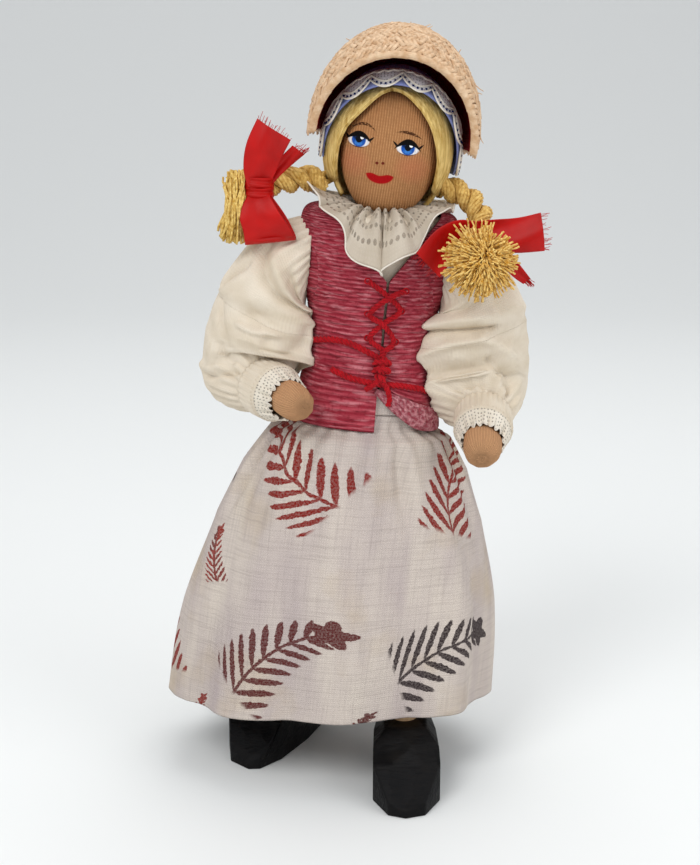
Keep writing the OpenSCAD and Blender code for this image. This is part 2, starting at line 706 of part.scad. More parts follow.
// The right front's lower corner is turned up over its outside
flap_h = 9;
flap_tip_share = 0.6;
function vest_w(t) = lookup(t, [for (p = vest_side) [p.y, p.x]]);
function vest_y(x, t) = -depth_share * sqrt(max(0, pow(vest_w(t), 2) - x * x));
module vest_front_right() {
    from = opening_x + opening_w;
    low = vest_hem_t;
    edge = [[from, low + flap_h], [from + flap_w / 2, low + flap_h / 2], [from + flap_w, low]];
    color(crimson) {
        difference() {
            vest_front(right);
            in_trunk() rotate([90, 0, 0]) linear_extrude(big)
                polygon(concat([[0, low + flap_h]], edge, [[from + flap_w, 0], [0, 0]]));
        }
        in_trunk() intersection() {
            hollow_turned(moved_in(vest_side, -soft_gap - vest_wall), vest_wall);
            rotate([90, 0, 0]) linear_extrude(big)
                polygon(concat(edge, [[from + flap_w * flap_tip_share, low + flap_h]]));
        }
        in_trunk() intersection() {
            hollow_turned(moved_in(vest_side, -soft_gap - vest_wall / 2), vest_wall + soft_gap);
            rotate([90, 0, 0]) linear_extrude(big)
                polygon(concat(edge, [for (i = [2:-1:0]) edge[i] + [cut, cut]]));
        }
    }
}
module vest_back() {
    color(crimson) in_trunk() intersection() {
        vest_shell();
        translate([0, big / 2 + fit_gap / 2, 0]) cube(big, center = true);
    }
}

// Lacing: two cords that cross on the vest between its eyelets, and a cord tied round the waist
lace_half_w = 5;
lace_low_t = 34.5;
lace_top_t = v_neck_t - 2 * cord_r;
lace_rows = 3;
lace_steps = 6;
function lace_point(i, side) = let (t = lace_low_t + (lace_top_t - lace_low_t) * i / lace_rows,
    x = opening_x + side * lace_half_w * cos(180 * i),
    lift = side > 0 ? (2 * cord_r + soft_gap) * pow(sin(180 * i), 2) : 0)
    at_trunk([x, vest_y(x, t) - cord_r - soft_gap - lift, t]);
module lacing() {
    color(scarlet) for (side = [left, right])
        cord([for (i = [0:lace_steps * lace_rows]) lace_point(i / lace_steps, side)], cord_r);
}
waist_cord_t = 34;
waist_cord_rise = 2.5;
waist_cord_from = 262;
waist_cord_round = 350;
waist_end_step = [4, 2];
function waist_point(a) = let (t = waist_cord_t + waist_cord_rise * (sin(a) - cos(a)),
    out = cord_r + soft_gap, w = vest_w(t))
    at_trunk([(w + out) * cos(a), (w * depth_share + out) * sin(a), t]);
module waist_cord() {
    n = 30;
    low = waist_cord_t - 2 * waist_cord_rise;
    front = vest_y(0, low) - 3 * cord_r;
    color(scarlet) cord(concat([for (i = [0:n]) waist_point(waist_cord_from - waist_cord_round * i / n)],
        [for (i = [0:2]) at_trunk([opening_x + i * waist_end_step.x, front + i * cord_r / 2,
            low - i * waist_end_step.y])]), cord_r);
}

// Skirt: an elliptical bell with soft folds, gathered to a band under the vest
waist_rise = 5;
waist_t = vest_hem_t + waist_rise;
fold_turn = 40;
bow_power = 0.75;
skirt_n = 54;
skirt_shares = [[0, 0], [0.05, 0.03], [0.085, 0.26], [0.2, 0.48], [0.38, 0.7], [0.66, 0.93], [1, 1]];
skirt_top = at_trunk([0, 0, waist_t]);
module skirt() {
    function skirt_loop(s, in) = let (down = s[0], out = s[1],
        w = waist_half_w + out * (hem_half_w - waist_half_w) - in,
        d = waist_half_w * depth_share + out * (hem_half_d - waist_half_w * depth_share) - in,
        mid = [skirt_top.x + pow(down, bow_power) * (hem_x - skirt_top.x), hip_y + down * (hem_y - hip_y)],
        z = skirt_top.z + down * (hem_h - skirt_top.z))
        [for (i = [0:skirt_n - 1]) let (a = 360 * i / skirt_n,
            f = fold_d * down * cos(folds * a + fold_turn))
            [mid.x + (w + f) * cos(a), mid.y + (d + f) * sin(a),
                z - w * cos(a) * tan(lean) * pow(1 - down, 2)]];
    out = [for (s = skirt_shares) skirt_loop(s, 0)];
    in = [for (i = [len(skirt_shares) - 1:-1:0]) skirt_loop(skirt_shares[i], skirt_wall)];
    color("floralwhite") skin(concat(out, in), true);
}
waistband_l = 6;
module waistband() {
    color("floralwhite") in_trunk() translate([0, 0, waist_t + soft_gap]) scale([1, depth_share, 1])
        difference() {
            cylinder(h = waistband_l, r = waist_half_w);
            translate([0, 0, -cut]) cylinder(h = waistband_l + 2 * cut, r = waist_half_w - skirt_wall);
        }
}

// Collar: a pleated ring about the neck that lies on the shoulders and falls in front
ruffle_shares = [0, 0.3, 0.55, 0.8, 1];
ruffle_per_pleat = 5;
ruffle_side_t = 81.5;
ruffle_front_t = 63.5;
ruffle_back_t = 80.5;
ruffle_flat_t = vest_top_t + vest_wall + 2 * soft_gap;
ruffle_dip = 2.4;
ruffle_fall_power = 6;
module collar_ruffle() {
    n = pleats * ruffle_per_pleat;
    in_r = neckband_in + cuff_wall + soft_gap;
    function rise(a) = sin(a) < 0
        ? ruffle_side_t + (ruffle_front_t - ruffle_side_t) * pow(sin(a), ruffle_fall_power)
        : ruffle_side_t + (ruffle_back_t - ruffle_side_t) * sin(a);
    function ruffle_loop(s, up) = [for (i = [0:n - 1]) let (a = 360 * i / n,
        t = ruffle_flat_t - (s > 0 ? 0 : ruffle_dip) + pow(s, 3) * (rise(a) - ruffle_flat_t) + up,
        wave = pleat_h * s * s * cos(360 * i / ruffle_per_pleat) / 2)
        at_trunk([(in_r + s * (ruffle_half_w - in_r)) * cos(a),
            (in_r + s * (ruffle_half_d - in_r)) * sin(a), t + wave])];
    out = [for (s = ruffle_shares) ruffle_loop(s, 0)];
    in = [for (i = [len(ruffle_shares) - 1:-1:0]) ruffle_loop(ruffle_shares[i], ruffle_wall)];
    color("white") skin(concat(out, in), true);
}

// Braids, tassels and ribbons: they lie on the shoulders
braid_end_share = 0.7;
braid_n = 10;
braid_left_route = [[-8.6, 9, 192], [-12.5, 9.5, 193], [-17, 8, 193.1], [-22, 5.2, 192.6],
    [-27, 3.4, 191.6]];
braid_right_route = [[31.4, 9, 189.2], [34, 8.6, 188.6], [37, 7.3, 186.6], [39.8, 3.5, 182.6],
    [40.4, -0.5, 178.2], [39.6, -2.6, 174.6]];
tie_right_end = [38.6, -5, 171];
tassel_left_route = [[-31.6, 2.1, 190.4], [-34.6, 2, 188.8], [-37.5, 3.6, 185.5], [-38.5, 5, 178.5]];
tassel_left_share = [0.54, 1.03, 1.35, 1.3];
pompom_mid = [38.4, -15.5, 169.8];
module braid(route) {
    m = len(route);
    radii = [for (i = [0:m - 1]) braid_r * (1 - (1 - braid_end_share) * i / (m - 1))];
    color(blond) cord(route, radii, braid_n);
}
module tassel_left() {
    color(blond) cord(tassel_left_route, braid_r * tassel_left_share, braid_n);
}
module tassel_right() {
    color(blond) translate(pompom_mid) egg([pompom_r, pompom_half_d, pompom_r]);
}
// A flat piece of ribbon that stands across the front, and the turns of ribbon that tie a braid
module flat_ribbon(from, to, start_share, y) {
    way = unit(to - from);
    side = ribbon_w / 2 * [-way.y, way.x];
    translate([0, y, 0]) rotate([90, 0, 0]) linear_extrude(ribbon_wall)
        polygon([from - start_share * side, to - side, to + side, from + start_share * side]);
}
module tie(from, to) {
    way = 2 * soft_gap * unit(to - from);
    rod(from + way, to - way, braid_r * braid_end_share + ribbon_wall / 2);
}
knot_share = 0.3;
band_share = 0.8;
knot_left = [-29, 190.4];
tail_left_end = [-23.8, 207.6];
loop_left_end = [-25.2, 175.6];
module ribbon_left() {
    y = tassel_left_route[0].y - braid_r * braid_end_share + ribbon_wall / 2;
    color("red") {
        tie(braid_left_route[4], tassel_left_route[0]);
        flat_ribbon(knot_left, tail_left_end, knot_share, y);
        flat_ribbon(knot_left, loop_left_end, knot_share, y);
    }
}
tail_right_ends = [[23.4, 168.8], [59.8, 177.8]];
module ribbon_right() {
    y = pompom_mid.y + pompom_half_d + soft_gap + ribbon_wall;
    color("red") {
        tie(braid_right_route[5], tie_right_end);
        flat_ribbon(tail_right_ends[0], tail_right_ends[1], band_share, y);
    }
}

trunk();
shoulder_peg();
hip_peg();
neck_peg();
blouse_body();
neckband();
collar_ruffle();
vest_back();
vest_front_left();
vest_front_right();
lacing();
waist_cord();
waistband();
skirt();
head_ball();
face_cover();
hair_front(left);  // hair_left
hair_front(right);  // hair_right
hair_back();
cap();
cap_lace();
bonnet();
bonnet_lining();
bonnet_binding();
braid(braid_left_route);  // braid_left
braid(braid_right_route);  // braid_right
tassel_left();
tassel_right();
ribbon_left();
ribbon_right();
upper_arm(left);  // upper_arm_left
upper_arm(right);  // upper_arm_right
elbow_pin(left);  // elbow_pin_left
elbow_pin(right);  // elbow_pin_right
sleeve_upper(left);  // sleeve_upper_left
sleeve_upper(right);  // sleeve_upper_right
forearm(left);  // forearm_left
forearm(right);  // forearm_right
hand(left);  // hand_left
hand(right);  // hand_right
sleeve_lower(left);  // sleeve_lower_left
sleeve_lower(right);  // sleeve_lower_right
cuff(left);  // cuff_left
cuff(right);  // cuff_right
cuff_lace(left);  // cuff_lace_left
cuff_lace(right);  // cuff_lace_right
leg(left);  // leg_left
leg(right);  // leg_right
clog(left);  // clog_left
clog(right);  // clog_right
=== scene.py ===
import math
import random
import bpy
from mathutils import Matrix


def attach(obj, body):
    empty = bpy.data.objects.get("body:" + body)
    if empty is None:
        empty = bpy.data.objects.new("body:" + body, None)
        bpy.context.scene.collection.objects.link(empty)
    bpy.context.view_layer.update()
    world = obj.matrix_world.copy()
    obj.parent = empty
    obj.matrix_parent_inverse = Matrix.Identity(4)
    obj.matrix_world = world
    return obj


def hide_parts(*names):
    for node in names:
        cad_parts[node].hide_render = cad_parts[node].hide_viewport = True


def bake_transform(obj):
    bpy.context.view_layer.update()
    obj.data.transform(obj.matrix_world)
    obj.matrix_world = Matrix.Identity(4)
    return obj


bl_info = {
    "name": "Costume doll",
    "version": (1, 0, 0),
    "blender": (4, 5, 0),
    "location": "View3D > Sidebar > Doll",
    "description": "Dresses the wooden doll: straw bonnet, floss hair, laced vest, sleeves, skirt and clogs",
    "category": "Add Mesh",
}

import bmesh
import bpy
from mathutils import Matrix, Vector, noise

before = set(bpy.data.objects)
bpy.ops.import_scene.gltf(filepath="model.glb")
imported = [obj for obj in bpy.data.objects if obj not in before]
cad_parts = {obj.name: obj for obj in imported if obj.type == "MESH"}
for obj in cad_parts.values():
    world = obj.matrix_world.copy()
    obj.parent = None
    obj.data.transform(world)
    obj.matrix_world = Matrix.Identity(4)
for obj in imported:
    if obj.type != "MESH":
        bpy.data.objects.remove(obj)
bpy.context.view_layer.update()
MM = 0.001
TURN = 2 * math.pi
LEFT, RIGHT = -1, 1
SIDE_NAME = {LEFT: "left", RIGHT: "right"}


def turned(axis, degrees):
    return Matrix.Rotation(math.radians(degrees), 4, axis)


def moved(*place):
    return Matrix.Translation(Vector(place))


# Places and sizes of the body, in millimetres and degrees, as the part has them. The frame of the trunk
# stands in its hip peg, and those of the head and of each arm and forearm in their middle or their joint.
LEAN, HEAD_LEAN = 4.5, 8
TRUNK = moved(2.6, 9.5, 104) @ turned("Y", LEAN)
NECK = moved(*(TRUNK @ Vector((0, 0, 74.5)))) @ turned("Y", HEAD_LEAN)
TRUNK_BACK = TRUNK.inverted()
HEAD = NECK @ moved(0, 0, 24)
SPLAY = {LEFT: 28, RIGHT: -17}
TWIST = {LEFT: 34, RIGHT: -11}
BEND = {LEFT: 100, RIGHT: 73}
UPPER_ARM, FOREARM = 47.8, 30
SHOULDER = {side: TRUNK @ Vector((side * 21.25, 0, 66)) for side in (LEFT, RIGHT)}
ARM = {s: moved(*SHOULDER[s]) @ turned("Y", SPLAY[s]) @ turned("Z", TWIST[s]) for s in (LEFT, RIGHT)}
LOWER = {s: ARM[s] @ moved(0, 0, -UPPER_ARM) @ turned("X", -BEND[s]) for s in (LEFT, RIGHT)}
ELBOW = {s: LOWER[s] @ Vector((0, 0, 0)) for s in (LEFT, RIGHT)}
FIST = {s: LOWER[s] @ Vector((0, 0, -FOREARM)) for s in (LEFT, RIGHT)}
# Depth of the trunk and of what it wears, as a share of the width
FLAT = 0.7
# Half sizes of the eggs that the face, the hair, the cap and the bonnet follow
FACE_HALF = Vector((15.7, 17.0, 20.0))
HAIR_HALF = Vector((19.7, 21.0, 24.0))
CAP_HALF = Vector((21.2, 22.6, 26.2))
BONNET_HALF = Vector((27.0, 29.5, 33.0))
BONNET_MID = Vector((0, -4, 6))
# Slope of the cap's and the bonnet's open front, where the cap's starts, and the scallops of its lace
FRONT_SLOPE, CAP_FRONT, SCALLOPS = 28, -3.4, 8


# Curves and small sums
def between(a, b, share):
    """The value that lies a share of the way from a to b."""
    return a + (b - a) * share


def eased(low, high, value):
    """A share that swings softly from 0 at low to 1 at high."""
    share = min(1, max(0, (value - low) / (high - low)))
    return share * share * (3 - 2 * share)


def through(points, share):
    """A point on the smooth curve through the points, share running from 0 to 1."""
    last = len(points) - 1
    at = min(max(share, 0), 1) * last
    k = min(int(at), last - 1)
    f = at - k
    p0, p1, p2, p3 = (points[min(max(k + j, 0), last)] for j in (-1, 0, 1, 2))
    return [0.5 * (2 * b + (c - a) * f + (2 * a - 5 * b + 4 * c - d) * f * f
                   + (3 * b - a - 3 * c + d) * f ** 3) for a, b, c, d in zip(p0, p1, p2, p3)]


def looked_up(points, value):
    """The smooth second value of the points at a first value, which grows along the points."""
    k = max(i for i in range(len(points) - 1) if i == 0 or points[i][0] <= value)
    f = min(1, max(0, (value - points[k][0]) / (points[k + 1][0] - points[k][0])))
    return through(points, (k + f) / (len(points) - 1))[1]


def swollen(way, half):
    """The point of an egg with these half sizes that a point of the unit ball goes to."""
    return Vector((way.x * half.x, way.y * half.y, way.z * half.z))


def ripple(*at):
    """Smooth noise between -1 and 1 at three numbers."""
    return noise.noise(Vector(at))


def circle(count):
    """Angles once round in even steps, the first and the last in one place."""
    return [TURN * k / count for k in range(count + 1)]


# Meshes. Corners nearer than this, in metres, are one, and a share above this is the end of a ring
SAME_PLACE, RING_END = 1e-7, 0.999999
# Corners nearer than this, in mm, are one at the closed end of a fist and at the crown of a dome
FIST_POLE, CROWN_POLE = 0.08, 0.12


def weave_grid(nu, nv, place, size, ring=False):
    """A sheet of squares laid by place(u, v) in millimetres, with its flat size as UV map."""
    bm = bmesh.new()
    bmesh.ops.create_grid(bm, x_segments=nu, y_segments=nv, size=0.5)
    uv = bm.loops.layers.uv.new("weave")
    for face in bm.faces:
        for corner in face.loops:
            co = corner.vert.co
            corner[uv].uv = ((co.x + 0.5) * size[0], (co.y + 0.5) * size[1])
    for vert in bm.verts:
        u, v = vert.co.x + 0.5, vert.co.y + 0.5
        vert.co = Vector(place(0.0 if ring and u > RING_END else u, v)) * MM
    if ring:
        bmesh.ops.remove_doubles(bm, verts=bm.verts, dist=SAME_PLACE)
    return bm


def object_of(name, bm):
    """A piece of a finished mesh."""
    mesh = bpy.data.meshes.new(name)
    bm.to_mesh(mesh)
    bm.free()
    obj = bpy.data.objects.new(name, mesh)
    bpy.context.scene.collection.objects.link(obj)
    return obj


def settled(obj):
    """Applies the object's modifiers, or turns a curve into its mesh."""
    graph = bpy.context.evaluated_depsgraph_get()
    mesh = bpy.data.meshes.new_from_object(obj.evaluated_get(graph), preserve_all_data_layers=True,
                                           depsgraph=graph)
    if obj.type != "MESH":
        name = obj.name
        bpy.data.objects.remove(obj)
        obj = bpy.data.objects.new(name, mesh)
        bpy.context.scene.collection.objects.link(obj)
    else:
        obj.modifiers.clear()
        obj.data = mesh
    return obj


def clothed(name, bm, finish, stands_for=(), wall=0.0):
    """Makes the piece from its mesh, with a wall where it is a sheet, and dresses it."""
    obj = object_of(name, bm)
    if wall:
        solid = obj.modifiers.new("wall", "SOLIDIFY")
        solid.thickness = wall * MM
        solid.offset = 0
        obj = settled(obj)
    return dressed(obj, finish, stands_for)


def dressed(obj, finish, stands_for=()):
    """Gives a piece its finish and hides the parts that it stands for."""
    obj.data.materials.clear()
    obj.data.materials.append(finish_of(finish))
    obj.data.shade_smooth()
    if stands_for:
        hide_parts(*stands_for)
    return obj


def threads(name, routes, radius, finish, stands_for=(), round_steps=0):
    """Round threads along routes of points; a radius may be a number or a rule of thread and share."""
    curve = bpy.data.curves.new(name, "CURVE")
    curve.dimensions = "3D"
    curve.bevel_depth = MM
    curve.bevel_resolution = round_steps
    curve.use_fill_caps = True
    for k, route in enumerate(routes):
        spline = curve.splines.new("POLY")
        spline.points.add(len(route) - 1)
        for i, point in enumerate(route):
            spline.points[i].co = (*(Vector(point) * MM), 1)
            share = i / (len(route) - 1)
            spline.points[i].radius = radius(k, share) if callable(radius) else radius
    obj = bpy.data.objects.new(name, curve)
    bpy.context.scene.collection.objects.link(obj)
    obj = settled(obj)
    bm = bmesh.new()
    bm.from_mesh(obj.data)
    bmesh.ops.remove_doubles(bm, verts=bm.verts, dist=SAME_PLACE)
    bmesh.ops.recalc_face_normals(bm, faces=bm.faces)
    bm.to_mesh(obj.data)
    bm.free()
    return dressed(obj, finish, stands_for)


def plies(route, count, orbit, pitch, steps, start=0.0):
    """Routes that wind round a route at an orbit, once in each pitch of its length, as a cord's plies do."""
    points = [Vector(through(route, i / steps)) for i in range(steps + 1)]
    out, gone = [[] for _ in range(count)], 0.0
    side = None
    for i, point in enumerate(points):
        way = (points[min(i + 1, steps)] - points[max(i - 1, 0)]).normalized()
        side = side or (Vector((0, 0, 1)) if abs(way.z) < 0.9 else Vector((1, 0, 0)))
        side = (side - side.dot(way) * way).normalized()
        other = way.cross(side)
        gone += (point - points[i - 1]).length if i else 0
        for k in range(count):
            a = start + TURN * (k / count + gone / pitch)
            out[k].append(point + orbit * (math.cos(a) * side + math.sin(a) * other))
    return out


def joined(name, parts):
    """One object of several, in their order."""
    bm = bmesh.new()
    for part in parts:
        bm.from_mesh(part.data)
        finish = part.data.materials[0]
        bpy.data.objects.remove(part)
    obj = object_of(name, bm)
    obj.data.materials.append(finish)
    obj.data.shade_smooth()
    return obj


# Materials
def ink(code):
    """The linear colour of an sRGB hex value."""
    parts = [int(code[i:i + 2], 16) / 255 for i in (1, 3, 5)]
    return (*[c / 12.92 if c <= 0.04045 else ((c + 0.055) / 1.055) ** 2.4 for c in parts], 1)


def node(tree, kind, inputs=(), out=0, **settings):
    """Adds a node with its settings and its inputs, by place or by name, and gives one of its outputs."""
    new = tree.nodes.new(kind)
    for key, value in settings.items():
        setattr(new, key, value)
    for key, value in inputs.items() if isinstance(inputs, dict) else enumerate(inputs):
        if isinstance(value, bpy.types.NodeSocket):
            tree.links.new(value, new.inputs[key])
        elif value is not None:
            new.inputs[key].default_value = value
    return new.outputs[out]


MATH, MIX, RAMP = "ShaderNodeMath", "ShaderNodeMix", "ShaderNodeMapRange"
VECTOR, CELLS = "ShaderNodeVectorMath", "ShaderNodeTexVoronoi"
TIMES, TIMES_PLUS = {"operation": "MULTIPLY"}, {"operation": "MULTIPLY_ADD"}
APART, TOGETHER = "ShaderNodeSeparateXYZ", "ShaderNodeCombineXYZ"
# Length of one band of a wave texture at a scale of 1
BAND = 0.31416


def tinted(tree, share, low, high, most=1):
    """A colour between two, by a share that reaches most of the way to the second.

    Each colour may be a hex value or one that is worked out."""
    a, b = (ink(c) if isinstance(c, str) else c for c in (low, high))
    if most != 1:
        share = node(tree, MATH, [share, most], **TIMES)
    return node(tree, MIX, {0: share, 6: a, 7: b}, 2, data_type="RGBA")


def spots(tree, at, scale, low, high, detail=2.0, stretch=(1, 1, 1)):
    """Soft patches of noise, as a share from 0 to 1; scale is in patches a millimetre."""
    spread = node(tree, VECTOR, [at, stretch], **TIMES)
    field = node(tree, "ShaderNodeTexNoise", {"Vector": spread, "Scale": scale, "Detail": detail}, "Fac")
    return node(tree, RAMP, {"Value": field, "From Min": low, "From Max": high}, clamp=True)


def ribs(tree, at, way, spacing, wobble=0.0, wobble_scale=0.2):
    """Round ribs across one way, spacing in millimetres, as a share from 0 to 1."""
    return node(tree, "ShaderNodeTexWave",
                {"Vector": at, "Scale": BAND / spacing, "Distortion": wobble, "Detail": 1.5,
                 "Detail Scale": wobble_scale * spacing / BAND}, "Fac",
                bands_direction=way, wave_profile="SIN")


def cloth_place(tree):
    """Millimetres on the flat cloth."""
    return node(tree, "ShaderNodeUVMap", out="UV", uv_map="weave")


def solid_place(tree):
    """Millimetres in the object's space."""
    raw = node(tree, "ShaderNodeTexCoord", out="Object")
    return node(tree, VECTOR, {0: raw, "Scale": 1000.0}, operation="SCALE")


def new_finish(name, roughness, **uniform):
    """A material with one shader; uniform names its sockets that are the same all over."""
    made = bpy.data.materials.new(name)
    made.use_nodes = True
    tree = made.node_tree
    shader = tree.nodes["Principled BSDF"]
    shader.inputs["Roughness"].default_value = roughness
    for key, value in uniform.items():
        shader.inputs[key.replace("_", " ")].default_value = value
    return made, tree, shader


def coated(tree, shader, colour, height, depth, holes=None):
    """Links a colour, a height in shares of a depth in millimetres, and the share of cloth that is there."""
    tree.links.new(colour, shader.inputs["Base Color"])
    bump = node(tree, "ShaderNodeBump", {"Strength": 1.0, "Distance": depth * MM, "Height": height})
    tree.links.new(bump, shader.inputs["Normal"])
    if holes is not None:
        tree.links.new(holes, shader.inputs["Alpha"])


def plain_weave(tree, at, thread):
    """Threads over and under, as a share of height; drawn about twice as coarse as real so that it shows."""
    warp = ribs(tree, at, "X", thread, 0.6)
    weft = ribs(tree, at, "Y", thread, 0.6)
    return node(tree, MATH, [warp, weft], **TIMES)


def oval(tree, x, z, mid, half, edge=0.12):
    """A share of 1 inside an oval about mid, with a soft edge."""
    squares = []
    for at, middle, reach in zip((x, z), mid, half):
        off = node(tree, MATH, [at, middle], operation="SUBTRACT")
        share = node(tree, MATH, [off, 1 / reach], **TIMES)
        squares.append(node(tree, MATH, [share, 2.0], operation="POWER"))
    far = node(tree, MATH, squares, operation="ADD")
    return node(tree, RAMP, {"Value": far, "From Min": 1 + edge, "From Max": 1 - edge}, clamp=True)


def arc(tree, x, z, top, bend, reach, thick, slant=0.0):
    """A share of 1 on a thin bow whose top is at a point; it thins towards its ends."""
    dx = node(tree, MATH, [x, top[0]], operation="SUBTRACT")
    dz = node(tree, MATH, [z, top[1]], operation="SUBTRACT")
    square = node(tree, MATH, [dx, dx], **TIMES)
    bow = node(tree, MATH, [square, bend, dz], **TIMES_PLUS)
    bow = node(tree, MATH, [dx, -slant, bow], **TIMES_PLUS)
    off = node(tree, MATH, [bow], operation="ABSOLUTE")
    left = node(tree, MATH, [square, 1 / reach ** 2], **TIMES)
    room = node(tree, MATH, [left, -thick, thick], **TIMES_PLUS)
    gap = node(tree, MATH, [room, off], operation="SUBTRACT")
    return node(tree, RAMP, {"Value": gap, "From Min": -0.06, "From Max": 0.12}, clamp=True)


def beech_wood():
    """Turned beech, sanded and left bare: pale pinkish brown with fine flecks and a faint sheen."""
    made, tree, shader = new_finish("beech_turned", 0.55)
    at = solid_place(tree)
    grain = spots(tree, at, 0.5, 0.3, 0.7, 4.0, (1.6, 1.6, 0.12))
    fleck = spots(tree, at, 1.4, 0.55, 0.75, 2.0, (1, 1, 0.3))
    colour = tinted(tree, fleck, tinted(tree, grain, "#C79A6B", "#DDB98C"), "#B58458")
    coated(tree, shader, colour, grain, 0.06)
    return made


def painted_clog():
    """Carved alder under thin black paint: knife facets catch the light and the wood browns on the edges."""
    made, tree, shader = new_finish("alder_painted_black", 0.55, Specular_IOR_Level=0.12)
    at = solid_place(tree)
    cell = {"Vector": at, "Scale": 0.16, "Randomness": 0.9}
    cuts = node(tree, CELLS, cell, "Color", feature="F1")
    facet = node(tree, "ShaderNodeSeparateColor", [cuts])
    grain = spots(tree, at, 0.9, 0.3, 0.75, 5.0, (0.25, 1, 1))
    worn = spots(tree, at, 0.12, 0.5, 0.72, 4.0)
    high = node(tree, APART, [at], "Z")
    upper = node(tree, RAMP, {"Value": high, "From Min": 9.0, "From Max": 15.0}, clamp=True)
    brown = node(tree, MATH, [node(tree, MATH, [upper, 0.6, 0.1], **TIMES_PLUS),
                              node(tree, MATH, [worn, 0.6, 0.2], **TIMES_PLUS)], **TIMES)
    base = tinted(tree, facet, "#050608", "#0B0C0F", 0.6)
    colour = tinted(tree, brown, base, "#1C1814")
    colour = tinted(tree, grain, colour, "#26211D", 0.2)
    tilt = node(tree, CELLS, cell, "Distance", feature="F1")
    height = node(tree, MATH, [tilt, 0.8, node(tree, MATH, [grain, 0.2], **TIMES)], **TIMES_PLUS)
    coated(tree, shader, colour, height, 0.9)
    return made


def steel():
    """Drawn steel wire: bright grey, faintly streaked along its length."""
    made, tree, shader = new_finish("steel_drawn", 0.35, Metallic=1.0)
    streak = spots(tree, solid_place(tree), 2.0, 0.3, 0.7, 2.0, (1, 0.1, 1))
    coated(tree, shader, tinted(tree, streak, "#A6A8AB", "#C3C5C7"), streak, 0.02)
    return made


def sprig(tree, at, cell, offset, half, reach, filled):
    """Sprigs on a grid of cells, each turned its own way: a bent stem, paired leaves and a flower.

    Half is a stem's half length and reach its leaves' length; a share of the cells is filled.
    Gives the share of print, and a number from 0 to 1 for each sprig."""
    place = node(tree, VECTOR, [at, (offset[0], offset[1], 0)], operation="ADD")
    parts = [node(tree, APART, [place], k) for k in range(2)]
    count = [node(tree, MATH, [node(tree, MATH, [p, 1 / cell], **TIMES)], operation="FLOOR")
             for p in parts]
    dice = node(tree, "ShaderNodeTexWhiteNoise", [node(tree, TOGETHER, count)], "Color",
                noise_dimensions="2D")
    red, green, blue = (node(tree, "ShaderNodeSeparateColor", [dice], k) for k in range(3))
    kept = node(tree, MATH, [blue, filled], operation="LESS_THAN")
    local = [node(tree, MATH, [node(tree, MATH, [n, 0.5], operation="ADD"), -cell, p],
                  **TIMES_PLUS) for p, n in zip(parts, count)]
    turn = node(tree, MATH, [red, 2.4, -1.2], **TIMES_PLUS)
    spun = node(tree, "ShaderNodeVectorRotate",
                {"Vector": node(tree, TOGETHER, local), "Angle": turn}, rotation_type="Z_AXIS")
    x, z = (node(tree, APART, [spun], k) for k in range(2))
    bowed = node(tree, MATH, [node(tree, MATH, [z, z], **TIMES), -0.35 / half, x], **TIMES_PLUS)
    wide = node(tree, MATH, [bowed], operation="ABSOLUTE")
    length = node(tree, MATH, [z], operation="ABSOLUTE")
    inside = node(tree, RAMP, {"Value": length, "From Min": half * 0.82, "From Max": half * 0.76},
                  clamp=True)
    stem = node(tree, RAMP, {"Value": wide, "From Min": 0.75, "From Max": 0.5}, clamp=True)
    pitch = half * 0.22
    row = node(tree, MATH, [node(tree, MATH, [wide, -0.8, z], **TIMES_PLUS), pitch],
               operation="FLOORED_MODULO")
    shift = node(tree, MATH, [row, -pitch / 2], operation="ADD")
    taper = node(tree, RAMP, {"Value": z, "From Min": -half, "From Max": half, "To Min": reach,
                              "To Max": reach * 0.3}, clamp=True)
    mid = node(tree, MATH, [taper, 0.52], **TIMES)
    along = node(tree, MATH, [node(tree, MATH, [wide, mid], operation="SUBTRACT"), mid], operation="DIVIDE")
    leaf = node(tree, MATH, [node(tree, MATH, [along, along], **TIMES),
                             node(tree, MATH, [node(tree, MATH, [shift, 15.5 / half], **TIMES),
                                               2.0], operation="POWER")], operation="ADD")
    leaf = node(tree, RAMP, {"Value": leaf, "From Min": 1.05, "From Max": 0.8}, clamp=True)
    flower_z = node(tree, MATH, [z, half * 0.86], operation="SUBTRACT")
    spin = node(tree, MATH, [flower_z, bowed], operation="ARCTAN2")
    petal = node(tree, MATH, [node(tree, MATH, [spin, 5.0], **TIMES)], operation="COSINE")
    far = node(tree, VECTOR, [node(tree, TOGETHER, [bowed, flower_z])],
               "Value", operation="LENGTH")
    bloom = node(tree, MATH, [petal, half * 0.06, node(tree, MATH, [far, -1.0, half * 0.24],
                                                       **TIMES_PLUS)], **TIMES_PLUS)
    bloom = node(tree, RAMP, {"Value": bloom, "From Min": 0.0, "From Max": 0.4}, clamp=True)
    body = node(tree, MATH, [node(tree, MATH, [stem, leaf], operation="MAXIMUM"), inside], **TIMES)
    whole = node(tree, MATH, [body, bloom], operation="MAXIMUM")
    return node(tree, MATH, [whole, kept], **TIMES), green


